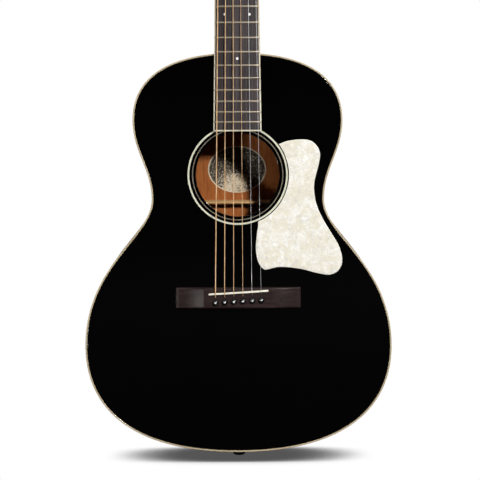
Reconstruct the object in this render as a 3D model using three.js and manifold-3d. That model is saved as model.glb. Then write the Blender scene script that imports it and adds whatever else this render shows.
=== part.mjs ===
// A small-bodied steel-string acoustic guitar, 14 frets clear of the body.
// Frame: +Z runs along the neck, -Y points out of the soundboard and +X is the treble side.
// The origin is the centre of the end pin's outer face. Lengths are in millimetres.
import * as THREE from 'three';
import { mergeVertices } from 'three/addons/utils/BufferGeometryUtils.js';
import Module from 'manifold-3d';

const wasm = await Module();
wasm.setup();

// ---------------------------------------------------------------- driving dimensions
const GAP = 0.3; // clearance kept between pieces that touch

const TAIL = 13; // the body's lower edge, clear of the end pin's face
const BODY_LENGTH = 488.5;
const LOWER_BOUT = { x: 187.3, z: 130.7 };
const WAIST = { x: 104.7, z: 311.1 };
const UPPER_BOUT = { x: 127.3, z: 407.3 };
// how far each curve of the outline is pulled along its tangent at its two ends
const PULL = { tail: 141.9, lower: [67.9, 100.1], waist: [44.2, 36.6], upper: [38.3, 34.5], neck: 107.4 };
const TAIL_DEPTH = 111;
const NECK_DEPTH = 86;
const BACK_ARCH = 4; // rise of the back across the lower bout's half width
const FRONT = -TAIL_DEPTH / 2; // the soundboard's face

const TOP_THICK = 2.8;
const BACK_THICK = 2.6;
const RIM_THICK = 2.2;
const BINDING = { width: 2, height: 5.5 };
const LINING = { width: 6, height: 12 };

const SOUNDHOLE = { z: 340.7, r: 50.8 };
const ROSETTE = { outer: [58.8, 61], inner: [54.4, 55.4], deep: 1.2 };

const SCALE = 647.7;
const SCALE_END = 200.9; // where the scale length ends, above the tail
const FRETS = 20;
const BOARD_END = 393.6;
const BOARD_HALF = { nut: 22.2, end: 29.2 };
const BOARD_THICK = 6.4;
const BOARD_RADIUS = 305;
const BOARD_BINDING = 1.8;
const FRET = { width: 2.2, height: 1.1, sunk: 0.4 };

const NUT_THICK = 5.5;
const HEAD_TILT = THREE.MathUtils.degToRad(14.5);
const HEAD_LENGTH = 166;
const HEAD_THICK = 14;
const VENEER = 1.6;
const HEEL_WALL = 2.2; // thickness of the heel's cap

// the bridge's middle block is thick and its wings are hollowed down to thin ends
const BRIDGE = { x: 76.2, z0: 178.2, z1: 203.6, thick: 8.6, wing: 3.4, block: 42, scoop: 72, fall: 0.6 };
const BRIDGE_PLATE = { z0: 173, z1: 208, half0: 74, half1: 44, thick: 2.8 };
const SADDLE = { x: 0.2, z: 197.7, half: 36.4, thick: 2.4, sunk: 5, slant: 0.0577 };
const PIN_X = [-27.6, -16.4, -5.3, 5.8, 17.2, 28.2]; // bass to treble
const PIN_Z = 187;
const PIN_SLANT = 0.053; // the row of pins climbs towards the treble side
const PIN = { head: 3.8, dome: 3, shank: 2.6, tip: 2.1, length: 23, hole: 2.95, exit: 3.4 };
const RAMP = { deep: 3.6, long: 8 }; // the slope that leads each string out of its hole

const GUARD = { r: 62.1, from: 36.6, to: -66.7, thick: 1.3, apart: 4 }; // about the soundhole
const LABEL = { x: -0.9, z: 343.4, halfX: 36.7, halfZ: 29.5, thick: 0.4 };

const STRING_R = [0.67, 0.53, 0.41, 0.31, 0.21, 0.16]; // bass to treble
const STRING_NUT_X = 19;
const STRING_SADDLE_X = 27.7;
const STRING_LOW = { nut: 8.3, saddle: 12.2 }; // underside of a middle string above the soundboard
const STRING_EXIT = 3.2; // depth below the bridge's face at which a string leaves its slot
const STRING_WRAP = 9; // height above the headstock's face at which a string meets its post
const BALL_R = 1.9;

const POST = { x: 21.5, first: 46, step: 36, r: 3, hole: 3.4, proud: 17, waist: 0.78 };
const PLATE = { x0: 13.5, x1: 29.5, thick: 1, ear: 1.2, earHalf: 2.4, earProud: 2.6, bore: 1.6 };
const PLATE_ENDS = { low: 16, high: 10 }; // how far a plate runs past its outer posts
const GEAR = { teeth: 16, pitch: 2.6, tip: 0.45, root: 0.85, thick: 3, y: 18.2 };
const WORM = { r: 2.1, swing: 0.55, length: 7.8, shaft: 1.2, stub: 2.8 };
const BUTTON = { x0: 41, length: 12, half: 8.5, thick: 6.5, bevel: 1 };

// ---------------------------------------------------------------- derived places
const BODY_TOP = TAIL + BODY_LENGTH;
const NUT_Z = TAIL + SCALE_END + SCALE;
const HEAD_Z = NUT_Z + NUT_THICK + 0.7;
const BOARD_Z = TAIL + BOARD_END;
const BACK_SLOPE = (NECK_DEPTH - TAIL_DEPTH) / BODY_LENGTH;
const BRIDGE_FACE = FRONT - GAP - BRIDGE.thick;
const GEAR_R = (GEAR.teeth * GEAR.pitch) / (2 * Math.PI);
const MESH_DISTANCE = GEAR_R + WORM.r;
const fretZ = (n) => TAIL + SCALE_END + SCALE * 2 ** (-n / 12);
const boardHalf = (z) =>
  THREE.MathUtils.mapLinear(z, NUT_Z, BOARD_Z, BOARD_HALF.nut, BOARD_HALF.end);
const crown = (x) => (x * x) / (2 * BOARD_RADIUS); // fall of the playing surface off its centre

// ---------------------------------------------------------------- materials
const finish = (color, roughness, metalness = 0) => () =>
  new THREE.MeshStandardMaterial({ color, roughness, metalness });
const blackGloss = finish(0x0b0b0c, 0.15);
const mahogany = finish(0x5a2614, 0.25);
const rawMahogany = finish(0x9a5a30, 0.7);
const spruce = finish(0xd8b27a, 0.75);
const maple = finish(0xcfae7c, 0.7);
const ivoroid = finish(0xd9cba4, 0.35);
const ebony = finish(0x1b1816, 0.5);
const rosewood = finish(0x3a2822, 0.55);
const bone = finish(0xece5d2, 0.35);
const pearl = finish(0xe9e2cf, 0.2);
const blackPlastic = finish(0x0c0c0d, 0.25);
const paper = finish(0xe6dcc0, 0.9);
const nickel = finish(0xc9c4ba, 0.3, 1);
const steel = finish(0x9a9a9c, 0.35, 1);
const bronze = finish(0xb98a55, 0.35, 1);

// ---------------------------------------------------------------- geometry helpers
function signedVolume(geometry) {
  const p = geometry.attributes.position;
  const ids = geometry.index.array;
  const [a, b, c] = [new THREE.Vector3(), new THREE.Vector3(), new THREE.Vector3()];
  let volume = 0;
  for (let i = 0; i < ids.length; i += 3) {
    a.fromBufferAttribute(p, ids[i]);
    b.fromBufferAttribute(p, ids[i + 1]);
    c.fromBufferAttribute(p, ids[i + 2]);
    volume += a.dot(b.cross(c)) / 6;
  }
  return volume;
}

// Shares the corners, drops slivers and turns the faces outwards.
function closed(geometry) {
  const bare = new THREE.BufferGeometry();
  bare.setAttribute('position', geometry.attributes.position.clone());
  if (geometry.index) bare.setIndex(geometry.index.clone());
  const merged = mergeVertices(bare, 1e-4);
  const ids = [];
  const old = merged.index.array;
  for (let i = 0; i < old.length; i += 3) {
    const [a, b, c] = [old[i], old[i + 1], old[i + 2]];
    if (a !== b && b !== c && c !== a) ids.push(a, b, c);
  }
  merged.setIndex(ids);
  if (signedVolume(merged) < 0) merged.setIndex(ids.reverse());
  return merged;
}

function solid(geometry) {
  const g = closed(geometry);
  const vertProperties = new Float32Array(g.attributes.position.array);
  const triVerts = new Uint32Array(g.index.array);
  return new wasm.Manifold(new wasm.Mesh({ numProp: 3, vertProperties, triVerts }));
}

function fromSolid(body) {
  const mesh = body.getMesh();
  const geometry = new THREE.BufferGeometry();
  geometry.setAttribute('position', new THREE.BufferAttribute(mesh.vertProperties, 3));
  geometry.setIndex(new THREE.BufferAttribute(mesh.triVerts, 1));
  return geometry;
}

const cut = (base, ...tools) =>
  fromSolid(tools.reduce((body, tool) => body.subtract(solid(tool)), solid(base)));
const join = (base, ...more) =>
  fromSolid(more.reduce((body, piece) => body.add(solid(piece)), solid(base)));
const keep = (base, ...limits) =>
  fromSolid(limits.reduce((body, limit) => body.intersect(solid(limit)), solid(base)));

const shapeOf = (points) => new THREE.Shape(points.map(([x, y]) => new THREE.Vector2(x, y)));

// A flat piece: the shape lies in XZ and its front face is at y = front.
function plate(shape, front, thick, curveSegments = 12) {
  const options = { depth: thick, bevelEnabled: false, curveSegments };
  const geometry = new THREE.ExtrudeGeometry(shape, options);
  return geometry.rotateX(Math.PI / 2).translate(0, front + thick, 0);
}

// A bar of one XY section from z0 to z1.
function bar(shape, z0, z1) {
  const options = { depth: z1 - z0, bevelEnabled: false };
  return new THREE.ExtrudeGeometry(shape, options).translate(0, 0, z0);
}

function block(x0, x1, y0, y1, z0, z1) {
  const geometry = new THREE.BoxGeometry(x1 - x0, y1 - y0, z1 - z0);
  return geometry.translate((x0 + x1) / 2, (y0 + y1) / 2, (z0 + z1) / 2);
}

// A round rod from a to b.
function rod(a, b, r, sides) {
  const along = new THREE.Vector3().subVectors(b, a);
  const geometry = new THREE.CylinderGeometry(r, r, along.length(), sides);
  const turn = new THREE.Quaternion();
  turn.setFromUnitVectors(new THREE.Vector3(0, 1, 0), along.normalize());
  const middle = new THREE.Vector3().addVectors(a, b).multiplyScalar(0.5);
  return geometry.applyQuaternion(turn).translate(middle.x, middle.y, middle.z);
}

// A closed skin over rings that have equally many corners, with a fan over each end.
function loft(rings) {
  const count = rings[0].length;
  const position = rings.flat().flatMap((p) => [p.x, p.y, p.z]);
  const index = [];
  for (let r = 0; r + 1 < rings.length; r += 1) {
    for (let i = 0; i < count; i += 1) {
      const [a, b] = [r * count + i, r * count + ((i + 1) % count)];
      index.push(a, b, b + count, a, b + count, a + count);
    }
  }
  const last = (rings.length - 1) * count;
  for (let i = 1; i + 1 < count; i += 1) {
    index.push(0, i + 1, i, last, last + i, last + i + 1);
  }
  const geometry = new THREE.BufferGeometry();
  geometry.setAttribute('position', new THREE.Float32BufferAttribute(position, 3));
  geometry.setIndex(index);
  return geometry;
}

// A closed tube of constant section with one ring, square to the bend, at each route point.
function tube(route, r, sides) {
  const up = new THREE.Vector3(1, 0, 0);
  const rings = route.map((p, k) => {
    const before = p.clone().sub(route[Math.max(k - 1, 0)]).normalize();
    const after = route[Math.min(k + 1, route.length - 1)].clone().sub(p).normalize();
    const along = before.add(after).normalize();
    const across = new THREE.Vector3().crossVectors(along, up).normalize();
    const beside = new THREE.Vector3().crossVectors(across, along);
    return Array.from({ length: sides }, (_, i) => {
      const a = (2 * Math.PI * i) / sides;
      return p.clone().addScaledVector(across, r * Math.cos(a)).addScaledVector(beside, r * Math.sin(a));
    });
  });
  return loft(rings);
}

function lathe(profile, sides) {
  return new THREE.LatheGeometry(profile.map(([r, y]) => new THREE.Vector2(r, y)), sides);
}

// ---------------------------------------------------------------- the body's outline
const outlineCurves = (() => {
  const at = (x, z) => new THREE.Vector2(x, z);
  const { x: lx, z: lz } = LOWER_BOUT;
  const { x: wx, z: wz } = WAIST;
  const { x: ux, z: uz } = UPPER_BOUT;
  const { tail, lower, waist, upper, neck } = PULL;
  return [
    [at(0, 0), at(tail, 0), at(lx, lz - lower[0]), at(lx, lz)],
    [at(lx, lz), at(lx, lz + lower[1]), at(wx, wz - waist[0]), at(wx, wz)],
    [at(wx, wz), at(wx, wz + waist[1]), at(ux, uz - upper[0]), at(ux, uz)],
    [at(ux, uz), at(ux, uz + upper[1]), at(neck, BODY_LENGTH), at(0, BODY_LENGTH)],
  ].map((corners) => new THREE.CubicBezierCurve(...corners));
})();

// The outline moved inwards by inset, as points that run anticlockwise from the tail.
function outlinePoints(inset, steps = 7) {
  const half = [];
  outlineCurves.forEach((curve) => {
    for (let i = half.length ? 1 : 0; i <= steps; i += 1) {
      const p = curve.getPoint(i / steps);
      const t = curve.getTangent(i / steps);
      half.push([p.x - inset * t.y, TAIL + p.y + inset * t.x]);
    }
  });
  const other = half.slice(1, -1).reverse().map(([x, z]) => [-x, z]);
  return [...half, ...other];
}

const bodyShape = (inset) => shapeOf(outlinePoints(inset));

function bodyRing(outer, inner) {
  const shape = bodyShape(outer);
  shape.holes.push(bodyShape(inner));
  return shape;
}

// The space between two skins that follow the arched, tapering back, near and far inside it.
function backLayer(near, far) {
  const facets = 8;
  const reach = LOWER_BOUT.x + 8;
  const xs = Array.from({ length: facets + 1 }, (_, i) => -reach + (2 * reach * i) / facets);
  const skin = (x, depth) => [x, -BACK_ARCH * (x / LOWER_BOUT.x) ** 2 - depth];
  const section = [...xs.map((x) => skin(x, far)), ...xs.reverse().map((x) => skin(x, near))];
  const geometry = bar(shapeOf(section), -20, BODY_LENGTH + 60);
  const lean = new THREE.Matrix4();
  lean.set(1, 0, 0, 0, 0, 1, BACK_SLOPE, TAIL_DEPTH / 2, 0, 0, 1, TAIL, 0, 0, 0, 1);
  return geometry.applyMatrix4(lean);
}

const DEEP = 2 * TAIL_DEPTH; // longer than the body is deep, for pieces that the back trims

// ---------------------------------------------------------------- assembly
const guitar = new THREE.Group();
const head = new THREE.Group(); // the headstock's frame: its face is y = 0 and z runs up it
head.position.set(0, FRONT, HEAD_Z);
head.rotation.x = -HEAD_TILT;
guitar.add(head);
guitar.updateMatrixWorld(true);

function add(name, geometry, material, parent = guitar) {
  const mesh = new THREE.Mesh(closed(geometry), material());
  mesh.name = name;
  parent.add(mesh);
  return mesh;
}

// ---------------------------------------------------------------- strings' places
const pinPlace = (i) => [PIN_X[i], TAIL + PIN_Z + PIN_SLANT * PIN_X[i]];
const nutX = (i) => STRING_NUT_X * (-1 + (2 * i) / 5);
const saddleX = (i) => STRING_SADDLE_X * (-1 + (2 * i) / 5);
const saddleZ = (x) => TAIL + SADDLE.z + SADDLE.slant * (x - SADDLE.x);

// ---------------------------------------------------------------- body shell
const circle = (r, z) => new THREE.Shape().absarc(0, z, r, 0, 2 * Math.PI, false);

function annulus(z, inner, outer) {
  const shape = circle(outer, z);
  shape.holes.push(circle(inner, z));
  return shape;
}

// A bridge-pin hole with the string's slot on its saddle side.
function pinHole(i, y0, y1, slot) {
  const [x, z] = pinPlace(i);
  const side = STRING_R[i] + GAP;
  const hole = plate(circle(PIN.hole, z), y0, y1 - y0, 4).translate(x, 0, 0);
  return join(hole, block(x - side, x + side, y0, y1, z, z + slot));
}

const slotReach = (i) => PIN.exit + STRING_R[i] + GAP;
const ALL_STRINGS = [0, 1, 2, 3, 4, 5];

const ROUND = 11; // steps in half of each circle about the soundhole

function buildSoundboard() {
  const holeZ = TAIL + SOUNDHOLE.z;
  const shape = bodyShape(BINDING.width + GAP);
  shape.holes.push(circle(SOUNDHOLE.r, holeZ));
  const grooves = [ROSETTE.outer, ROSETTE.inner].map(([r0, r1]) =>
    plate(annulus(holeZ, r0 - GAP, r1 + GAP), FRONT - 1, 1 + ROSETTE.deep + GAP, ROUND));
  const pinHoles = ALL_STRINGS.map((i) => pinHole(i, FRONT - 1, FRONT + TOP_THICK + 1, slotReach(i)));
  add('soundboard', cut(plate(shape, FRONT, TOP_THICK, ROUND), ...grooves, ...pinHoles), blackGloss);
  for (const [name, [r0, r1]] of Object.entries({ outer: ROSETTE.outer, inner: ROSETTE.inner })) {
    add(`rosette_${name}`, plate(annulus(holeZ, r0, r1), FRONT, ROSETTE.deep, ROUND), ivoroid);
  }
}

function buildShell() {
  const { width, height } = BINDING;
  add('back_plate', keep(plate(bodyShape(width + GAP), FRONT, DEEP), backLayer(0, BACK_THICK)), mahogany);
  add('binding_front', plate(bodyRing(0, width), FRONT, height), ivoroid);
  add('binding_back', keep(plate(bodyRing(0, width), FRONT, DEEP), backLayer(0, height)), ivoroid);

  const rim = plate(bodyRing(0, RIM_THICK), FRONT + height + GAP, DEEP);
  const inside = backLayer(height + GAP, DEEP);
  for (const [name, side] of [['bass', -1], ['treble', 1]]) {
    const reach = [side * GAP * 0.5, side * 300].sort((a, b) => a - b);
    const halfSpace = block(...reach, -200, 200, -50, BODY_TOP + 50);
    add(`rim_${name}`, cut(keep(rim, inside, halfSpace), dovetail(GAP), endPinBore()), mahogany);
  }
}

const liningRing = (slack) =>
  bodyRing(RIM_THICK + GAP - slack, RIM_THICK + GAP + LINING.width + slack);

function liningSpace(side, slack) {
  if (side === 'front') {
    const front = FRONT + TOP_THICK + GAP;
    return plate(liningRing(slack), front - slack, LINING.height + 2 * slack);
  }
  const near = BACK_THICK + GAP;
  const layer = backLayer(near - slack, near + LINING.height + slack);
  return keep(plate(liningRing(slack), FRONT, DEEP), layer);
}

function buildLinings() {
  for (const side of ['front', 'back']) {
    add(`lining_${side}`, cut(liningSpace(side, 0), dovetail(GAP)), rawMahogany);
  }
}

// ---------------------------------------------------------------- blocks and braces
const DOVETAIL = { root: 9, tip: 12.5, long: 17, front: BINDING.height + 1, back: 10 };
const NECK_BLOCK = { half: 38, long: 52 };
const TAIL_BLOCK = { half: 32, long: 20 };
const END_PIN = { shank: 4.8, tip: 4.2, deep: 32, waist: 5.6, knob: 7.6, face: 5 };
const END_PIN_STEPS = { knob0: 2.2, knob1: 5.5, waist: 8.5, collar: TAIL - 1.6 }; // from its face

// The wedge-shaped tongue that holds the neck in its block.
function dovetail(slack) {
  const { root, tip, long, front, back } = DOVETAIL;
  const mouth = BODY_TOP + 4;
  const end = BODY_TOP - long - slack;
  const [near, far] = [root + slack, tip + slack];
  const shape = shapeOf([[-near, mouth], [-far, end], [far, end], [near, mouth]]);
  const y0 = FRONT + front - slack;
  return plate(shape, y0, NECK_DEPTH - back - front + 2 * slack);
}

function endPinBore() {
  const r = END_PIN.shank + GAP;
  const length = 2 * (END_PIN.deep - GAP);
  return new THREE.CylinderGeometry(r, r, length, 10).rotateX(Math.PI / 2).translate(0, 0, TAIL);
}

function buildBlocks() {
  const inside = plate(bodyShape(RIM_THICK + GAP), FRONT + TOP_THICK + GAP, DEEP);
  const layer = backLayer(BACK_THICK + GAP, DEEP);
  const linings = [liningSpace('front', GAP), liningSpace('back', GAP)];
  const neckEnd = block(-NECK_BLOCK.half, NECK_BLOCK.half, -80, 80, BODY_TOP - NECK_BLOCK.long, BODY_TOP);
  const tailEnd = block(-TAIL_BLOCK.half, TAIL_BLOCK.half, -80, 80, TAIL, TAIL + TAIL_BLOCK.long);
  add('neck_block', cut(keep(inside, layer, neckEnd), ...linings, dovetail(GAP)), rawMahogany);
  add('tail_block', cut(keep(inside, layer, tailEnd), ...linings, endPinBore()), rawMahogany);
}

// The room that braces may fill: inside the linings, behind the soundboard or before the back.
const braceInset = RIM_THICK + LINING.width + 3 * GAP;

const BRACE = { wide: 7.5, tall: 14, crossZ: 255, angle: THREE.MathUtils.degToRad(49) };
const UPPER_BRACE = { z: 420, wide: 11, tall: 13 };
const TONE_BAR = { x: 14, z: 118, turn: 0.42, half: 118, wide: 6.5, tall: 10 };
const BACK_BRACES = [
  { z: 400, wide: 6, tall: 15 },
  { z: 302, wide: 6, tall: 15 },
  { z: 205, wide: 13, tall: 8 },
  { z: 110, wide: 13, tall: 8 },
];
const LONG = 400; // longer than half of any brace before the linings trim it

// A stick behind the soundboard, centred at x, z and turned by angle from the Z axis.
function topStick(x, z, angle, half, wide, tall) {
  const y0 = FRONT + TOP_THICK + GAP;
  const stick = block(-wide / 2, wide / 2, y0, y0 + tall, -half, half);
  const placed = stick.rotateY(angle).translate(x, 0, TAIL + z);
  return keep(placed, plate(bodyShape(braceInset), FRONT, DEEP));
}

function buildTopBraces() {
  const { wide, tall, crossZ, angle } = BRACE;
  const y0 = FRONT + TOP_THICK + GAP;
  const lap = (turn, from, to) => {
    const notch = block(-wide / 2 - GAP, wide / 2 + GAP, y0 + from, y0 + to, -20, 20);
    return notch.rotateY(turn).translate(0, 0, TAIL + crossZ);
  };
  const bass = topStick(0, crossZ, angle, LONG, wide, tall);
  const treble = topStick(0, crossZ, -angle, LONG, wide, tall);
  add('x_brace_bass', cut(bass, lap(-angle, -1, tall / 2 + GAP / 2)), spruce);
  add('x_brace_treble', cut(treble, lap(angle, tall / 2 - GAP / 2, tall + 1)), spruce);
  const across = Math.PI / 2;
  const upper = UPPER_BRACE;
  add('upper_transverse_brace', topStick(0, upper.z, across, LONG, upper.wide, upper.tall), spruce);
  const tone = TONE_BAR;
  add('tone_bar', topStick(tone.x, tone.z, across + tone.turn, tone.half, tone.wide, tone.tall), spruce);
}

function buildBridgePlate() {
  const y0 = FRONT + TOP_THICK + GAP;
  const { z0, z1, half0, half1, thick } = BRIDGE_PLATE;
  const corners = [[-half0, z0], [half0, z0], [half1, z1], [-half1, z1]];
  const shape = shapeOf(corners.map(([x, z]) => [x, TAIL + z]));
  const holes = ALL_STRINGS.map((i) => pinHole(i, y0 - 1, y0 + thick + 1, slotReach(i)));
  add('bridge_plate', cut(plate(shape, y0, thick), ...holes), maple);
}

function buildBackBraces() {
  const room = plate(bodyShape(braceInset), FRONT, DEEP);
  const near = BACK_THICK + GAP;
  BACK_BRACES.forEach(({ z, wide, tall }, i) => {
    const slab = block(-LONG, LONG, -DEEP, DEEP, TAIL + z - wide / 2, TAIL + z + wide / 2);
    add(`back_brace_${i + 1}`, keep(slab, room, backLayer(near, near + tall)), spruce);
  });
}

function buildLabel() {
  const { x, z, halfX, halfZ, thick } = LABEL;
  const oval = new THREE.Shape().absellipse(x, TAIL + z, halfX, halfZ, 0, 2 * Math.PI);
  const near = BACK_THICK + GAP;
  add('paper_label', keep(plate(oval, FRONT, DEEP, 12), backLayer(near, near + thick)), paper);
}

function buildEndPin() {
  const { shank, tip, deep, waist, knob, face } = END_PIN;
  const { knob0, knob1, waist: low, collar } = END_PIN_STEPS;
  const profile = [[0, 0], [face, 0], [knob, knob0], [knob, knob1], [waist, low], [knob, collar],
    [knob, TAIL - GAP], [shank, TAIL - GAP], [tip, deep], [0, deep]];
  add('end_pin', lathe(profile, 16).rotateX(Math.PI / 2), blackPlastic);
}

// ---------------------------------------------------------------- pickguard
// Its free edge, as x and the height above the body's tail, from its upper corner round to its lower.
const GUARD_EDGE = [
  [58.4, 381], [68.3, 382.8], [77, 383.4], [84.3, 383], [90.8, 380.6], [95.8, 376], [99, 370.4],
  [100.1, 364], [98.3, 352.2], [94.2, 337], [92.7, 325], [94.8, 307.7], [101.5, 290.3],
  [112.4, 271.4], [122.4, 254.6], [126.8, 238.6], [123.9, 225.6], [112.6, 218.5], [96.4, 220.4],
  [76.6, 225.5], [51.7, 228.2], [36.2, 225.2], [30.6, 225.9], [24.6, 234], [21.6, 249.5],
  [22.9, 268], [24.4, 277.2],
];

function buildPickguard() {
  const { r, thick } = GUARD;
  const [start, end] = [GUARD.from, GUARD.to].map(THREE.MathUtils.degToRad);
  const centre = new THREE.Vector2(0, TAIL + SOUNDHOLE.z);
  const shape = new THREE.Shape();
  shape.moveTo(centre.x + r * Math.cos(start), centre.y + r * Math.sin(start));
  shape.splineThru(GUARD_EDGE.map(([x, z]) => new THREE.Vector2(x, TAIL + z)));
  shape.absarc(centre.x, centre.y, r, end, start, false);
  add('pickguard', plate(shapeOf(guardPoints(shape)), FRONT - GAP - thick, thick), pearl);
}

// Thins the curve's points, so that neighbours stand apart.
function guardPoints(shape) {
  const kept = [];
  shape.getPoints(3).forEach((p) => {
    const last = kept[kept.length - 1];
    if (!last || Math.hypot(p.x - last[0], p.y - last[1]) > GUARD.apart) kept.push([p.x, p.y]);
  });
  return kept;
}

// ---------------------------------------------------------------- bridge, saddle and pins
function buildBridge() {
  const { x: half, z0, z1, thick, wing, block: flat, scoop, fall } = BRIDGE;
  const hollow = (t) => [flat + (scoop - flat) * t, wing + (thick - wing) * (1 - t) ** 2];
  const rightSide = [...[0, 0.15, 0.32, 0.52, 0.75, 1].map(hollow), [half, wing - fall]];
  const leftSide = rightSide.map(([x, h]) => [-x, h]).reverse();
  const under = FRONT - GAP;
  const section = [[half, 0], [-half, 0], ...leftSide, ...rightSide].map(([x, h]) => [x, under - h]);
  const holes = ALL_STRINGS.map((i) => pinHole(i, BRIDGE_FACE - 1, FRONT + 1, slotReach(i)));
  const ramps = ALL_STRINGS.map((i) => {
    const [x, z] = pinPlace(i);
    const side = STRING_R[i] + GAP;
    return block(x - side, x + side, BRIDGE_FACE - 1, BRIDGE_FACE + RAMP.deep, z, z + RAMP.long);
  });
  const slot = saddleBlock(SADDLE.half + GAP, SADDLE.thick + 2 * GAP, () => BRIDGE_FACE - 1, GAP);
  const body = bar(shapeOf(section), TAIL + z0, TAIL + z1);
  add('bridge', cut(body, ...holes, ...ramps, slot), rosewood);
}

// An upright strip under the strings, slanted to correct the strings' pitch.
function saddleBlock(half, thick, topAt, deeper) {
  const floor = BRIDGE_FACE + SADDLE.sunk + deeper;
  const xs = [-1, -0.6, -0.2, 0.2, 0.6, 1].map((t) => t * half);
  const section = [[half, floor], [-half, floor], ...xs.map((x) => [x, topAt(x)])];
  const strip = bar(shapeOf(section), -thick / 2, thick / 2);
  return strip.rotateY(-Math.atan(SADDLE.slant)).translate(SADDLE.x, 0, TAIL + SADDLE.z);
}

function buildSaddle() {
  const topAt = (x) => FRONT - STRING_LOW.saddle + GAP + crown(x);
  add('saddle', saddleBlock(SADDLE.half, SADDLE.thick, topAt, 0), bone);
}

function buildPins() {
  const { head: r, dome, shank, tip, length } = PIN;
  const seat = -GAP; // the head's underside, outside the bridge's face
  const profile = [[0, length], [tip, length - 1], [shank, seat], [r, seat], [r, seat - 1],
    [r * 0.72, seat - 1 - dome * 0.72], [0, seat - 1 - dome]];
  ALL_STRINGS.forEach((i) => {
    const [x, z] = pinPlace(i);
    const pin = add(`bridge_pin_${6 - i}`, lathe(profile, 10), blackPlastic);
    pin.position.set(x, BRIDGE_FACE, z);
  });
}

// ---------------------------------------------------------------- neck
const shaftDepth = (z) => THREE.MathUtils.mapLinear(z, NUT_Z, BODY_TOP, 14.4, 18);

function shaftRing(z) {
  const points = 9;
  const half = boardHalf(z);
  return Array.from({ length: points }, (_, i) => {
    const a = (Math.PI * i) / (points - 1);
    return new THREE.Vector3(half * Math.cos(a), FRONT + shaftDepth(z) * Math.sin(a), z);
  });
}

// Slices of the heel: depth behind the soundboard, half width and reach up the neck.
const HEEL = [[2, 26.9, 74], [10, 26.6, 58], [18, 25.6, 43], [27, 23.6, 34.5], [40, 21.2, 29],
  [56, 19, 25.5], [71, 17.6, 23], [NECK_DEPTH - HEEL_WALL - GAP, 16.8, 21.5]];

function heelSlice([deep, half, reach]) {
  const points = 9;
  const base = BODY_TOP - 3;
  return Array.from({ length: points }, (_, i) => {
    const a = (Math.PI * i) / (points - 1);
    return new THREE.Vector3(half * Math.cos(a), FRONT + deep, base + (reach + 3) * Math.sin(a) ** 0.9);
  });
}

// One edge of the headstock, from the nut to the tip.
const HEAD_EDGE = [[22.6, 0], [23.6, 6], [33.5, 26], [36, 34], [35.2, 90], [33.4, 152], [29, 162.5],
  [17, 165], [5, HEAD_LENGTH]];

function headShape(from, inset) {
  const edge = HEAD_EDGE.map(([x, z]) => [x - inset, Math.max(z - inset, from)]);
  return shapeOf([...edge, ...edge.map(([x, z]) => [-x, z]).reverse()]);
}

const postPlace = (side, row) => [side * POST.x, POST.first + POST.step * row];
const TUNERS = [-1, 1].flatMap((side) => [0, 1, 2].map((row) => ({ side, row })));

function postHoles(r, y0, y1) {
  return TUNERS.map(({ side, row }) => {
    const [x, z] = postPlace(side, row);
    return new THREE.CylinderGeometry(r, r, y1 - y0, 10).translate(x, (y0 + y1) / 2, z);
  });
}

const ROD_POCKET = { half: 5.5, z0: -4, z1: 26, deep: 9.5 };
const ROD_COVER = { foot: 3, half: 10.5, top: 34, round: 5, pull: [13, 12], thick: 1.8 };
const TRUSS = { r: 2.4, deep: 5.4, channel: 3.2, nut: 3.4, end: 14 };

function buildNeck() {
  const shaft = loft([BODY_TOP - 3, BODY_TOP + 60, (BODY_TOP + NUT_Z) / 2, NUT_Z, HEAD_Z + 1].map(shaftRing));
  const heel = loft(HEEL.map(heelSlice));
  const paddle = plate(headShape(0, 0), 0, HEAD_THICK);
  const posts = postHoles(POST.hole, -2, HEAD_THICK + 2);
  const { half, z0, z1, deep } = ROD_POCKET;
  const pocket = block(-half, half, -4, deep, z0, z1);
  const turned = [...posts, pocket].map((g) => g.applyMatrix4(head.matrixWorld));
  const body = plate(bodyShape(-GAP), FRONT - 5, DEEP);
  const channel = block(-TRUSS.channel, TRUSS.channel, FRONT - 1, FRONT + 9, BODY_TOP + 4, HEAD_Z + 2);
  const shaped = cut(join(shaft, heel, paddle.applyMatrix4(head.matrixWorld)), body, channel, ...turned);
  add('neck', join(shaped, dovetail(0)), mahogany);
}

function buildNeckFittings() {
  const capFront = FRONT + NECK_DEPTH - HEEL_WALL;
  const capRing = heelSlice(HEEL[HEEL.length - 1]).map((p) => [p.x, p.z]);
  const capBlank = plate(shapeOf(capRing), capFront, HEEL_WALL);
  add('heel_cap', cut(capBlank, plate(bodyShape(-GAP), FRONT, DEEP)), ivoroid);

  const rodY = FRONT + TRUSS.deep;
  const at = (z) => new THREE.Vector3(0, rodY, z);
  const nut = rod(at(HEAD_Z + 3), at(HEAD_Z + TRUSS.end), TRUSS.nut, 6);
  add('truss_rod', join(rod(at(BODY_TOP + 8), at(HEAD_Z + 5), TRUSS.r, 8), nut), steel);

  const opening = block(-ROD_POCKET.half, ROD_POCKET.half, -4, 2, 2, ROD_POCKET.z1);
  const face = plate(headShape(1, 0.2), -VENEER - GAP, VENEER);
  add('headstock_veneer', cut(face, opening, ...postHoles(POST.hole, -4, 2)), blackGloss, head);

  const { foot, half: wide, top, round, pull, thick } = ROD_COVER;
  const cover = new THREE.Shape();
  const bend = round + 0.5;
  cover.moveTo(-wide, foot);
  cover.lineTo(wide, foot);
  cover.bezierCurveTo(wide, foot + pull[0], bend, top - pull[1], round, top);
  cover.absarc(0, top, round, 0, Math.PI, false);
  cover.bezierCurveTo(-bend, top - pull[1], -wide, foot + pull[0], -wide, foot);
  add('truss_rod_cover', plate(cover, -VENEER - 2 * GAP - thick, thick, 5), blackPlastic, head);
}

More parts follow.
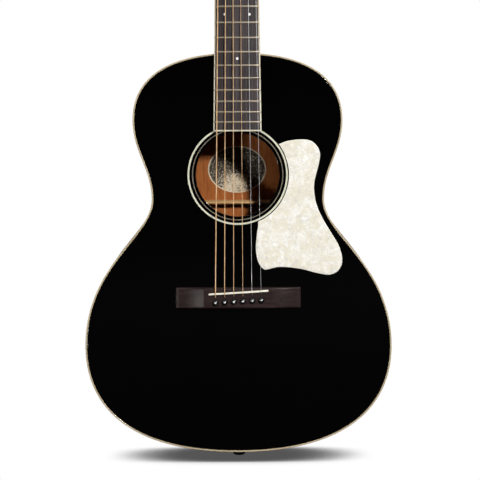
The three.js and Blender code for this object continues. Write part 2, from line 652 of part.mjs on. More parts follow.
// ---------------------------------------------------------------- fretboard
// The whole board's section at z: a flat underside and a crowned face.
function boardRing(z, half, lift = 0) {
  const face = [-1, -0.5, 0, 0.5, 1].map((t) => {
    const x = t * half;
    return new THREE.Vector3(x, FRONT - GAP - BOARD_THICK - lift + crown(x), z);
  });
  const under = FRONT - GAP;
  return [new THREE.Vector3(half, under, z), new THREE.Vector3(-half, under, z), ...face];
}

function buildFretboard() {
  const top = NUT_Z - GAP;
  const board = loft([boardRing(BOARD_Z, boardHalf(BOARD_Z)), boardRing(top, boardHalf(top))]);
  const inner = (slack) => {
    const [b0, b1] = [BOARD_Z + BOARD_BINDING + slack, top + 5];
    const corner = (z, side) => [side * (boardHalf(z) - BOARD_BINDING - slack), z];
    return plate(shapeOf([corner(b0, -1), corner(b0, 1), corner(b1, 1), corner(b1, -1)]), FRONT - 20, 30);
  };
  const frets = Array.from({ length: FRETS }, (_, n) => fretBar(fretZ(n + 1)));
  add('fretboard', join(keep(board, inner(GAP)), ...frets), ebony);
  add('fretboard_binding', cut(board, inner(0)), ivoroid);
}

function fretBar(z) {
  const half = boardHalf(z) - BOARD_BINDING - 2 * GAP;
  const face = FRONT - GAP - BOARD_THICK;
  const xs = [-half, 0, half];
  const outer = xs.map((x) => [x, face - FRET.height + crown(x)]);
  const inner = xs.map((x) => [x, face + FRET.sunk + crown(x)]).reverse();
  return bar(shapeOf([...outer, ...inner]), z - FRET.width / 2, z + FRET.width / 2);
}

function buildNut() {
  const half = BOARD_HALF.nut;
  const xs = [-1, -0.6, -0.2, 0.2, 0.6, 1].map((t) => t * half);
  const top = xs.map((x) => [x, FRONT - STRING_LOW.nut + GAP + crown(x)]);
  const section = [[half, FRONT - GAP], [-half, FRONT - GAP], ...top];
  add('nut', bar(shapeOf(section), NUT_Z, NUT_Z + NUT_THICK), bone);
}

// ---------------------------------------------------------------- strings
function buildString(i) {
  const r = STRING_R[i];
  const [px, pz] = pinPlace(i);
  const exitZ = pz + PIN.exit;
  const under = FRONT + TOP_THICK + GAP + BRIDGE_PLATE.thick; // the bridge plate's inner face
  const ballZ = pz + PIN.shank + GAP + BALL_R;
  const rise = (low, x) => FRONT - low - r + crown(x);
  const [sx, nx] = [saddleX(i), nutX(i)];
  const [side, row] = i < 3 ? [-1, i] : [1, 5 - i];
  const [postX, postZ] = postPlace(side, row);
  const gripX = postX - side * (POST.r + r + GAP);
  const grip = new THREE.Vector3(gripX, -VENEER - GAP - STRING_WRAP, postZ).applyMatrix4(head.matrixWorld);
  const route = [
    new THREE.Vector3(px, under + BALL_R + GAP + 0.2, ballZ),
    new THREE.Vector3(px, under - 0.5, exitZ),
    new THREE.Vector3(px, BRIDGE_FACE + STRING_EXIT - r, exitZ),
    new THREE.Vector3(sx, rise(STRING_LOW.saddle, sx), saddleZ(sx) - SADDLE.thick / 2 - GAP),
    new THREE.Vector3(nx, rise(STRING_LOW.nut, nx), NUT_Z + NUT_THICK + GAP),
    grip,
  ];
  const ball = new THREE.SphereGeometry(BALL_R, 8, 5).translate(...route[0].toArray());
  add(`string_${6 - i}`, join(ball, tube(route, r, 6)), i < 4 ? bronze : steel);
}

// ---------------------------------------------------------------- tuners
// The outline of a wheel whose teeth leave a gap pointing straight down.
function gearShape() {
  const { teeth, tip, root } = GEAR;
  const polar = (r, turn) => {
    const a = (2 * Math.PI * turn) / teeth - Math.PI / 2;
    return [r * Math.cos(a), r * Math.sin(a)];
  };
  const corners = Array.from({ length: teeth }, (_, n) => [
    polar(GEAR_R - root, n), polar(GEAR_R + tip, n + 0.39), polar(GEAR_R + tip, n + 0.61)]);
  return shapeOf(corners.flat());
}

function buildPost(side, row, number) {
  const [x, z] = postPlace(side, row);
  const { r, proud, waist } = POST;
  const face = -VENEER - GAP;
  const thin = r * waist;
  const profile = [[0, GEAR.y - 1], [r, GEAR.y - 1], [r, face - 6], [thin, face - 8], [thin, face - 10.5],
    [r, face - 12.5], [r, face - proud + 0.8], [r - 0.8, face - proud], [0, face - proud]];
  const wheel = plate(gearShape(), GEAR.y - GEAR.thick / 2, GEAR.thick);
  const post = add(`tuner_post_${number}`, join(lathe(profile, 8), wheel), nickel, head);
  post.position.set(x, 0, z);
}

// A one-start worm along X: a round section carried round the axis once in each pitch.
function wormBody() {
  const [sides, steps] = [6, 6];
  const count = Math.round((WORM.length / GEAR.pitch) * steps);
  const ring = (k) => {
    const x = (k / count - 0.5) * WORM.length;
    const phase = (2 * Math.PI * x) / GEAR.pitch;
    const [cy, cz] = [WORM.swing * Math.sin(phase), WORM.swing * Math.cos(phase)];
    return Array.from({ length: sides }, (_, i) => {
      const a = (2 * Math.PI * i) / sides + phase;
      return new THREE.Vector3(x, cy + WORM.r * Math.sin(a), cz + WORM.r * Math.cos(a));
    });
  };
  return loft(Array.from({ length: count + 1 }, (_, k) => ring(k)));
}

function buttonBody() {
  const { length, half, thick, bevel } = BUTTON;
  const outline = new THREE.Shape().absellipse(length / 2, 0, length / 2, half, 0, 2 * Math.PI);
  const edge = { bevelThickness: bevel, bevelSize: bevel, bevelOffset: -bevel, bevelSegments: 1 };
  const options = { ...edge, depth: thick - 2 * bevel, curveSegments: 7 };
  const geometry = new THREE.ExtrudeGeometry(outline, options);
  return geometry.rotateX(Math.PI / 2).translate(0, thick / 2 - bevel, 0);
}

function buildKnob(side, row, number) {
  const [x, z] = postPlace(side, row);
  const far = (BUTTON.x0 - POST.x) * side;
  const end = (WORM.length / 2 - 0.1) * side;
  const at = (place) => new THREE.Vector3(place, 0, 0);
  const stub = rod(at(-end), at(-end - WORM.stub * side), WORM.shaft, 8);
  const shaft = rod(at(end), at(far + side), WORM.shaft, 8);
  const button = side > 0 ? buttonBody() : buttonBody().rotateZ(Math.PI);
  const body = join(wormBody(), stub, shaft, button.translate(far, 0, 0));
  const knob = add(`tuner_knob_${number}`, body, bone, head);
  knob.position.set(x, GEAR.y, z - MESH_DISTANCE);
}

function buildTunerPlate(name, side) {
  const { x0, x1, thick, ear, earHalf, earProud, bore } = PLATE;
  const [low, high] = [POST.first - PLATE_ENDS.low, POST.first + 2 * POST.step + PLATE_ENDS.high];
  const base = HEAD_THICK + GAP;
  const [left, right] = [side * x0, side * x1].sort((a, b) => a - b);
  const strip = block(left, right, base, base + thick, low, high);
  const ears = [];
  const bores = [];
  [0, 1, 2].forEach((row) => {
    const [x, z] = postPlace(side, row);
    const axisZ = z - MESH_DISTANCE;
    for (const end of [-1, 1]) {
      const ex = x + end * (WORM.length / 2 + GAP + ear / 2);
      const [z0, z1] = [axisZ - earHalf, axisZ + earHalf];
      ears.push(block(ex - ear / 2, ex + ear / 2, base + 0.2, GEAR.y + earProud, z0, z1));
    }
    const reach = new THREE.Vector3(7.5, 0, 0);
    const middle = new THREE.Vector3(x, GEAR.y, axisZ);
    bores.push(rod(middle.clone().sub(reach), middle.clone().add(reach), bore, 6));
    bores.push(new THREE.CylinderGeometry(POST.hole, POST.hole, 6, 10).translate(x, base, z));
  });
  add(`tuner_plate_${name}`, cut(join(strip, ...ears), ...bores), nickel, head);
}

function buildTuners() {
  buildTunerPlate('bass', -1);
  buildTunerPlate('treble', 1);
  TUNERS.forEach(({ side, row }) => {
    const number = side < 0 ? 6 - row : 1 + row;
    buildKnob(side, row, number);
    buildPost(side, row, number);
  });
}

// ---------------------------------------------------------------- build
buildSoundboard();
buildShell();
buildLinings();
buildBlocks();
buildTopBraces();
buildBridgePlate();
buildBackBraces();
buildLabel();
buildEndPin();
buildPickguard();
buildBridge();
buildSaddle();
buildPins();
buildNeck();
buildNeckFittings();
buildFretboard();
buildNut();
ALL_STRINGS.forEach(buildString);
buildTuners();

export default guitar;
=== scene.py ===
"""Looks of a small-bodied steel-string acoustic guitar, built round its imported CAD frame.

Shape helpers work in millimetres in the part's own frame: +Z runs up the neck, -Y points out
of the soundboard and +X is the treble side. piece() turns their points into metres.
"""
import math
from bisect import bisect_right

import bmesh
import bpy
from mathutils import Matrix, Vector
from mathutils.geometry import tessellate_polygon


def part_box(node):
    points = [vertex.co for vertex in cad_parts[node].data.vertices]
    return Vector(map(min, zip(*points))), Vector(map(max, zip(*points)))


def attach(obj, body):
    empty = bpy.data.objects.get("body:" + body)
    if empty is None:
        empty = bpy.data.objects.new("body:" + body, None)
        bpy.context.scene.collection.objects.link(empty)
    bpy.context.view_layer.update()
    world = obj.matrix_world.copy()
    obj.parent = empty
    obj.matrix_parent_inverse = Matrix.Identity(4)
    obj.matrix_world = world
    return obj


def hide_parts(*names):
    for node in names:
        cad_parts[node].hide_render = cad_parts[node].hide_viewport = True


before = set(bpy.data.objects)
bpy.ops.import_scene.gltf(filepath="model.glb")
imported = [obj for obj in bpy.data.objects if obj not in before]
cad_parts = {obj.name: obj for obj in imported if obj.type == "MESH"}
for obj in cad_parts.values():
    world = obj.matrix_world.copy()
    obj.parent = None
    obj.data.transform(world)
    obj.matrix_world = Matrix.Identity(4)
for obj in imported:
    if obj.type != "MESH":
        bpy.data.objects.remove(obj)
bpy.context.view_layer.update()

MM = 0.001

# ------------------------------------------------------------------ dimensions, in millimetres
GAP = 0.3  # between pieces that touch
SLIVER = 0.02  # by which visible pieces stand clear of what they lie on

# the body's outline, and how far each curve of it is pulled along its tangent at its two ends
TAIL = 13.0
BODY_LENGTH = 488.5
LOWER_BOUT = (187.3, 130.7)
WAIST = (104.7, 311.1)
UPPER_BOUT = (127.3, 407.3)
TAIL_PULL, NECK_PULL = 141.9, 107.4
LOWER_PULL, WAIST_PULL, UPPER_PULL = (67.9, 100.1), (44.2, 36.6), (38.3, 34.5)

TAIL_DEPTH = 111.0
NECK_DEPTH = 86.0
BACK_ARCH = 4.0
FRONT = -TAIL_DEPTH / 2
BODY_TOP = TAIL + BODY_LENGTH
BACK_SLOPE = (NECK_DEPTH - TAIL_DEPTH) / BODY_LENGTH

TOP_THICK = 2.8
BACK_THICK = 2.6
RIM_THICK = 2.2
BINDING_WIDTH = 2.0
BINDING_HEIGHT = 5.5
SEAT = BINDING_WIDTH + GAP / 3  # where the top and the back meet their bindings
LINING_WIDTH = 6.0
LINING_HEIGHT = 12.0
KERF_STEP, KERF_BLOCK = 5.4, 4.4
PLATE_UNDER_BRIDGE = 2.8

HOLE_Z = TAIL + 340.7
HOLE_R = 50.8
ROSETTE_OUTER = (58.8, 61.0)
ROSETTE_INNER = (54.4, 55.4)
ROSETTE_LINE = 0.34
ROSETTE_DEEP = 1.2

LABEL_MIDDLE = (-0.9, TAIL + 343.4)
LABEL_HALF = (36.7, 29.5)
LABEL_THICK = 0.35

SCALE = 647.7
SCALE_END = TAIL + 200.9
NUT_Z = SCALE_END + SCALE
FRETS = 20
BOARD_Z = TAIL + 393.6
BOARD_HALF_NUT = 22.2
BOARD_HALF_END = 29.2
BOARD_THICK = 6.4
BOARD_RADIUS = 305.0
BOARD_BINDING = 1.8
BOARD_FACE = FRONT - GAP - BOARD_THICK
BOARD_TOP = NUT_Z - 0.1
FRET_WIDTH = 2.2
FRET_HEIGHT = 1.1
NUT_THICK = 5.5
DOT_R = 1.6
DOT_SPREAD = 14.9

# rows of the heel: depth behind the soundboard's plane, half width, reach along the neck
HEEL = ((2.0, 26.9, 74.0), (10.0, 26.6, 58.0), (18.0, 25.6, 43.0), (27.0, 23.6, 34.5),
        (40.0, 21.2, 29.0), (56.0, 19.0, 25.5), (71.0, 17.6, 23.0), (83.5, 16.8, 21.5))
HEEL_WALL = 2.2
HEEL_BACK = NECK_DEPTH - HEEL_WALL
HEEL_BLEND = 9.0
HEEL_EASE = 9.0
SHAFT_NUT, SHAFT_BODY = 14.4, 18.0

# the headstock's edge: half width and height above the nut's end
HEAD_EDGE = ((22.6, 0.0), (23.6, 6.0), (33.5, 26.0), (36.0, 34.0), (35.2, 90.0), (33.4, 152.0),
             (29.0, 162.5), (17.0, 165.0), (5.0, 166.0))
HEAD_TILT = math.radians(14.5)
HEAD_Z = NUT_Z + NUT_THICK + 0.7
HEAD_THICK = 14.0
VENEER = 1.6
COVER_THICK = 1.9
HEAD = Matrix.Translation((0, FRONT, HEAD_Z)) @ Matrix.Rotation(-HEAD_TILT, 4, "X")

BRIDGE_HALF = 76.2
BRIDGE_Z = (TAIL + 178.2, TAIL + 203.6)
BRIDGE_THICK = 8.6
BRIDGE_WING = 3.4
BRIDGE_FALL = 0.6
BRIDGE_BLOCK = 42.0
BRIDGE_SCOOP = 72.0
BRIDGE_FACE = FRONT - GAP - BRIDGE_THICK
SADDLE_MIDDLE = (0.2, TAIL + 197.7)
SADDLE_HALF = 36.4
SADDLE_THICK = 2.4
SADDLE_SUNK = 5.0
SADDLE_SLANT = 0.0577

PIN_X = (-27.6, -16.4, -5.3, 5.8, 17.2, 28.2)
PIN_Z = TAIL + 187.0
PIN_SLANT = 0.053
PIN_HEAD = 3.8
PIN_SHANK = 2.6
PIN_TIP = 2.1
PIN_LENGTH = 23.0
PIN_HOLE = 2.95
PIN_EXIT = 3.4

# the pickguard's free edge, as x and the height above the tail, and its arc round the soundhole
GUARD_EDGE = ((58.4, 381.0), (68.3, 382.8), (77.0, 383.4), (84.3, 383.0), (90.8, 380.6),
              (95.8, 376.0), (99.0, 370.4), (100.1, 364.0), (98.3, 352.2), (94.2, 337.0),
              (92.7, 325.0), (94.8, 307.7), (101.5, 290.3), (112.4, 271.4), (122.4, 254.6),
              (126.8, 238.6), (123.9, 225.6), (112.6, 218.5), (96.4, 220.4), (76.6, 225.5),
              (51.7, 228.2), (36.2, 225.2), (30.6, 225.9), (24.6, 234.0), (21.6, 249.5),
              (22.9, 268.0), (24.4, 277.2))
GUARD_R = 62.1
GUARD_TURN = (math.radians(36.6), math.radians(-66.7))
GUARD_THICK = 1.3

STRINGS = range(6)  # from the thickest
STRING_R = (0.67, 0.53, 0.41, 0.31, 0.21, 0.16)
STRING_TURNS = (2.2, 2.4, 2.7, 3.2, 4.2, 4.6)
STRING_RIDGE = 0.36
WOUND = 4
STRING_NUT_X = 19.0
STRING_SADDLE_X = 27.7
STRING_EXIT = 3.2
STRING_WRAP = (9.0, 6.4)  # where the turns on a post start and end, before its face
BALL_R = 1.9
BALL_DROP = 4.0
NUT_ACTION = 8.3
SADDLE_ACTION = 12.2

POST_X = 21.5
POST_FIRST = 46.0
POST_STEP = 36.0
POST_ROWS = range(3)
POST_R = 3.0
POST_HOLE = 3.4
POST_PROUD = 17.0
POST_FACE = -VENEER - GAP
POST_NECK = POST_R * 0.78
PLATE_X = (13.5, 29.5)
PLATE_Z = (POST_FIRST - 16, POST_FIRST + 2 * POST_STEP + 10)
PLATE_Y = HEAD_THICK + GAP
PLATE_THICK = 1.0
EAR = 1.2
GEAR_TEETH = 16
GEAR_PITCH = 2.6
GEAR_R = GEAR_TEETH * GEAR_PITCH / (2 * math.pi)
GEAR_Y = 18.2
GEAR_HALF = 1.5
WORM_R = 2.1
WORM_SWING = 0.55
WORM_LENGTH = 7.8
WORM_DROP = GEAR_R + WORM_R
BUTTON_X = 41.0
BUTTON_LENGTH = 12.0
BUTTON_HALF = 8.5
BUTTON_THICK = 6.5


def mix(a, b, t):
    return a + (b - a) * t


def smooth(t):
    t = min(max(t, 0.0), 1.0)
    return t * t * (3 - 2 * t)


def evenly(low, high, steps):
    """steps + 1 evenly spaced numbers from low to high."""
    return [mix(low, high, k / steps) for k in range(steps + 1)]


def turns(steps):
    """Angles that divide a whole turn evenly."""
    return [2 * math.pi * k / steps for k in range(steps)]


def crown(x):
    """Fall of the playing surface at x off its centre."""
    return x * x / (2 * BOARD_RADIUS)


def board_half(z):
    return mix(BOARD_HALF_END, BOARD_HALF_NUT, (z - BOARD_Z) / (NUT_Z - BOARD_Z))


def fret_z(number):
    return SCALE_END + SCALE * 2 ** (-number / 12)


def back_face(x, z):
    """Depth of the arched, tapering back's outer face."""
    return TAIL_DEPTH / 2 + BACK_SLOPE * (z - TAIL) - BACK_ARCH * (x / LOWER_BOUT[0]) ** 2


# ------------------------------------------------------------------ mesh helpers
def piece(name, points, faces, uvs=None):
    """A smooth-shaded mesh from points in millimetres. uvs has one pair for each point."""
    mesh = bpy.data.meshes.new(name)
    mesh.from_pydata([Vector(p) * MM for p in points], [], faces)
    if uvs:
        layer = mesh.uv_layers.new(name="UVMap")
        for loop in mesh.loops:
            layer.data[loop.index].uv = uvs[loop.vertex_index]
    mesh.shade_smooth()
    obj = bpy.data.objects.new(name, mesh)
    bpy.context.scene.collection.objects.link(obj)
    return obj


def face_out(obj):
    """Turns a closed mesh's faces outwards."""
    shape = bmesh.new()
    shape.from_mesh(obj.data)
    bmesh.ops.remove_doubles(shape, verts=shape.verts, dist=1e-7)
    bmesh.ops.recalc_face_normals(shape, faces=shape.faces)
    shape.to_mesh(obj.data)
    shape.free()
    return obj


def crisp(obj, degrees=35):
    """Sharp edges where faces turn by more than degrees, and flat faces that stay flat."""
    obj.data.set_sharp_from_angle(angle=math.radians(degrees))
    weighted = obj.modifiers.new("weighted", "WEIGHTED_NORMAL")
    weighted.keep_sharp = True
    return obj


def solid(name, points, faces, uvs=None, degrees=35):
    """A closed piece with its faces outwards and its sharp edges kept."""
    return crisp(face_out(piece(name, points, faces, uvs)), degrees)


def soften(obj, width, segments=3, degrees=30):
    """Rounds every edge sharper than degrees."""
    bevel = obj.modifiers.new("bevel", "BEVEL")
    bevel.width = width * MM
    bevel.segments = segments
    bevel.limit_method = "ANGLE"
    bevel.angle_limit = math.radians(degrees)
    bevel.harden_normals = True
    return obj


def carve(obj, *cutters, degrees=30):
    """Cuts the cutters' shapes out of obj for good, deletes them and makes obj crisp again."""
    for part in (obj, *cutters):
        part.modifiers.clear()
    for cutter in cutters:
        cut = obj.modifiers.new("cut", "BOOLEAN")
        cut.operation = "DIFFERENCE"
        cut.solver = "EXACT"
        cut.object = cutter
    graph = bpy.context.evaluated_depsgraph_get()
    mesh = bpy.data.meshes.new_from_object(obj.evaluated_get(graph))
    obj.modifiers.clear()
    obj.data = mesh
    for cutter in cutters:
        bpy.data.objects.remove(cutter)
    return crisp(obj, degrees)


def finish_piece(obj, slot, *nodes, body="root", look=None, edge=None):
    """Gives obj its material, named by look or else by slot, makes it ride on body and hides the
    CAD nodes that it stands for.
    """
    obj.data.materials.append(material(look or slot))
    if edge:
        obj.data.materials.append(material(edge))
    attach(obj, body)
    if nodes:
        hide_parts(*nodes)


def rounded(points, radius, closed=True, segments=5):
    """The polyline with each corner turned into a curve that starts radius away from it."""
    out = []
    last = len(points) - 1
    for i, corner in enumerate(points):
        if not closed and i in (0, last):
            out.append(tuple(corner))
            continue
        c = Vector(corner)
        before = Vector(points[i - 1]) - c
        after = Vector(points[(i + 1) % len(points)]) - c
        reach = min(radius, before.length * 0.48, after.length * 0.48)
        a = c + before.normalized() * reach
        b = c + after.normalized() * reach
        for t in evenly(0, 1, segments):
            out.append(tuple(a * (1 - t) ** 2 + c * (2 * t * (1 - t)) + b * t * t))
    return out


def spline(points, steps=6):
    """A smooth curve through the points."""
    out = []
    padded = [points[0], *points, points[-1]]
    for a, b, c, d in zip(padded, padded[1:], padded[2:], padded[3:]):
        a, b, c, d = (Vector(p) for p in (a, b, c, d))
        for k in range(steps):
            t = k / steps
            out.append(tuple(0.5 * (2 * b + (c - a) * t + (2 * a - 5 * b + 4 * c - d) * t * t
                                    + (3 * b - a - 3 * c + d) * t ** 3)))
    return out + [tuple(points[-1])]


def travelled(points):
    """How far along the polyline each of its points lies."""
    run = [0.0]
    for a, b in zip(points, points[1:]):
        run.append(run[-1] + math.dist(a, b))
    return run


def point_at(points, travel, run):
    """The point that lies run along the polyline; travel is travelled(points)."""
    k = min(bisect_right(travel, run), len(travel) - 1) - 1
    t = (run - travel[k]) / max(travel[k + 1] - travel[k], 1e-9)
    return tuple(mix(a, b, t) for a, b in zip(points[k], points[k + 1]))


def signed_area(loop):
    return sum(a[0] * b[1] - b[0] * a[1] for a, b in zip(loop, loop[1:] + loop[:1])) / 2


def offset_loop(loop, distance):
    """The closed loop moved towards its own inside by distance."""
    if not distance:
        return list(loop)
    turn = 1 if signed_area(loop) > 0 else -1
    moved = []
    for i, p in enumerate(loop):
        before, after = loop[i - 1], loop[(i + 1) % len(loop)]
        n1 = Vector((before[1] - p[1], p[0] - before[0])).normalized() * turn
        n2 = Vector((p[1] - after[1], after[0] - p[0])).normalized() * turn
        step = (n1 + n2) / max(1 + n1.dot(n2), 0.4) * distance
        moved.append((p[0] + step[0], p[1] + step[1]))
    return moved


def mirrored(half):
    """The closed loop of a half outline that starts and ends on the middle line."""
    return half + [(-x, z) for x, z in half[-2:0:-1]]


def circle(radius, z=0.0, x=0.0, steps=96):
    return [(x + radius * math.cos(a), z + radius * math.sin(a)) for a in turns(steps)]


def quads(rows, count, start=0, round_rows=False, round_ring=True):
    """Faces of a grid of points that are stored row by row, from index start."""
    faces = []
    for r in range(rows if round_rows else rows - 1):
        low, high = start + r * count, start + (r + 1) % rows * count
        for i in range(count if round_ring else count - 1):
            j = (i + 1) % count
            faces.append((low + i, low + j, high + j, high + i))
    return faces


def sheet_pair(rows, count, round_ring):
    """Faces of two like grids, one stored after the other, that look away from each other."""
    near = quads(rows, count, round_ring=round_ring)
    layer = rows * count
    return near + [tuple(layer + k for k in quad[::-1]) for quad in near]


def edge_levels(radius, face, into, steps):
    """(inset, face, depth) of the rows that round a plate's edge into one of its faces."""
    if not radius:
        return [(0.0, face, 0.0)]
    return [(radius * (1 - math.sin(a)), face, into * radius * (1 - math.cos(a)))
            for a in evenly(0, math.pi / 2, steps)]


def slab(name, loops, near, far, soft_near=0.0, soft_far=0.0, steps=4, place=None):
    """A plate with the closed (x, z) loops as its outline and holes, outline first.

    near and far are its faces' y, or functions of x and z that give it; their edges are
    rounded by soft_near and soft_far. Faces off the two flats get material 1 where there is one.
    """
    near_at = near if callable(near) else lambda x, z: near
    far_at = far if callable(far) else lambda x, z: far
    rows = edge_levels(soft_near, near_at, 1, steps)
    rows += edge_levels(soft_far, far_at, -1, steps)[::-1]
    points, faces, starts = [], [], []
    for which, loop in enumerate(loops):
        starts.append(len(points))
        faces += quads(len(rows), len(loop), len(points))
        for inset, face, deeper in rows:
            for x, z in offset_loop(loop, inset if which == 0 else -inset):
                points.append((x, face(x, z) + deeper, z))
    sides = len(faces)
    for row, flip in ((0, False), (len(rows) - 1, True)):
        rims = [[s + row * len(loop) + i for i in range(len(loop))]
                for s, loop in zip(starts, loops)]
        flat = [[Vector((points[k][0], points[k][2], 0)) for k in rim] for rim in rims]
        ids = [k for rim in rims for k in rim]
        for triangle in tessellate_polygon(flat):
            corner = [ids[k] for k in triangle]
            faces.append(tuple(corner[::-1] if flip else corner))
    if place:
        points = [place @ Vector(p) for p in points]
    obj = piece(name, points, faces)
    for polygon in obj.data.polygons[:sides]:
        polygon.material_index = 1
    return crisp(face_out(obj))


def loft(name, rings, closed_path=False, uvs=None, degrees=35, place=None):
    """A skin over rings with equally many points, capped unless the path is closed."""
    count = len(rings[0])
    points = [Vector(p) for ring in rings for p in ring]
    if place:
        points = [place @ p for p in points]
    faces = quads(len(rings), count, round_rows=closed_path)
    if not closed_path:
        faces.append(tuple(range(count))[::-1])
        faces.append(tuple(range(len(points) - count, len(points))))
    return solid(name, points, faces, uvs, degrees)


def lathe(name, profile, place, sides=40, degrees=40, soft=0.0, steps=3):
    """The (radius, height) profile turned round place's local Z, its corners eased by soft."""
    if soft:
        profile = rounded(profile, soft, False, steps)
    points = [place @ Vector((r * math.cos(a), r * math.sin(a), h))
              for r, h in profile for a in turns(sides)]
    return solid(name, points, quads(len(profile), sides), degrees=degrees)


def tube(name, path, radius, sides=12):
    """A round rod along the path, with u along its length and v round it, in metres."""
    last = len(path) - 1
    ahead = [(path[min(i + 1, last)] - path[max(i - 1, 0)]).normalized() for i in range(last + 1)]
    side = ahead[0].cross(Vector((0.3, 1, 0.2))).normalized()
    rings, uvs = [], []
    for p, forward, run in zip(path, ahead, travelled(path)):
        side = (side - forward * side.dot(forward)).normalized()
        other = forward.cross(side)
        rings.append([p + side * (radius * math.cos(a)) + other * (radius * math.sin(a))
                      for a in turns(sides)])
        uvs += [(run * MM, k / sides) for k in range(sides)]
    return loft(name, rings, uvs=uvs, degrees=60)


def block(name, low, high, place=None):
    """A box between two corners, for cutting with."""
    (x0, y0, z0), (x1, y1, z1) = low, high
    rings = [[(x0, y0, z), (x1, y0, z), (x1, y1, z), (x0, y1, z)] for z in (z0, z1)]
    return loft(name, rings, place=place)


def aimed(x, y, z, place=Matrix(), sign=1):
    """A place whose local Z points along -y, or along +y where sign is -1."""
    return place @ Matrix.Translation((x, y, z)) @ Matrix.Rotation(sign * math.pi / 2, 4, "X")


# ------------------------------------------------------------------ the body's outline
def outline_curves():
    (lx, lz), (wx, wz), (ux, uz) = LOWER_BOUT, WAIST, UPPER_BOUT
    return (
        ((0, 0), (TAIL_PULL, 0), (lx, lz - LOWER_PULL[0]), (lx, lz)),
        ((lx, lz), (lx, lz + LOWER_PULL[1]), (wx, wz - WAIST_PULL[0]), (wx, wz)),
        ((wx, wz), (wx, wz + WAIST_PULL[1]), (ux, uz - UPPER_PULL[0]), (ux, uz)),
        ((ux, uz), (ux, uz + UPPER_PULL[1]), (NECK_PULL, BODY_LENGTH), (0, BODY_LENGTH)),
    )


def curve_point(curve, t):
    a, b, c, d = (Vector(p) for p in curve)
    s = 1 - t
    at = a * s ** 3 + b * (3 * s * s * t) + c * (3 * s * t * t) + d * t ** 3
    slope = (b - a) * (3 * s * s) + (c - b) * (6 * s * t) + (d - c) * (3 * t * t)
    return at, slope.normalized()


def half_outline(inset, steps=36):
    """The treble half of the body's outline moved inwards by inset, from tail to neck."""
    half = []
    for curve in outline_curves():
        for t in evenly(0, 1, steps)[1 if half else 0:]:
            at, along = curve_point(curve, t)
            half.append((at.x - inset * along.y, TAIL + at.y + inset * along.x))
    half[0] = (0.0, half[0][1])
    half[-1] = (0.0, half[-1][1])
    return half


def band(name, insets, near, far, side=0, soft=0.0):
    """A strip that follows the outline between two insets, from y near to y far.

    side is 0 for the whole loop, -1 for the bass half and 1 for the treble half.
    """
    halves = [half_outline(inset) for inset in insets]
    if side:
        outer, inner = ([(side * x, z) for x, z in half] for half in halves)
    else:
        outer, inner = (mirrored(half) for half in halves)
    rings, uvs = [], []
    for (xo, zo), (xi, zi), run in zip(outer, inner, travelled(outer)):
        rings.append([(xo, near(xo, zo), zo), (xo, far(xo, zo), zo),
                      (xi, far(xi, zi), zi), (xi, near(xi, zi), zi)])
        uvs += [(run * MM, y * MM) for _, y, _ in rings[-1]]
    obj = loft(name, rings, closed_path=not side, uvs=uvs, degrees=50)
    if soft:
        obj.modifiers.clear()
        soften(obj, soft, 3, 50)
    return obj


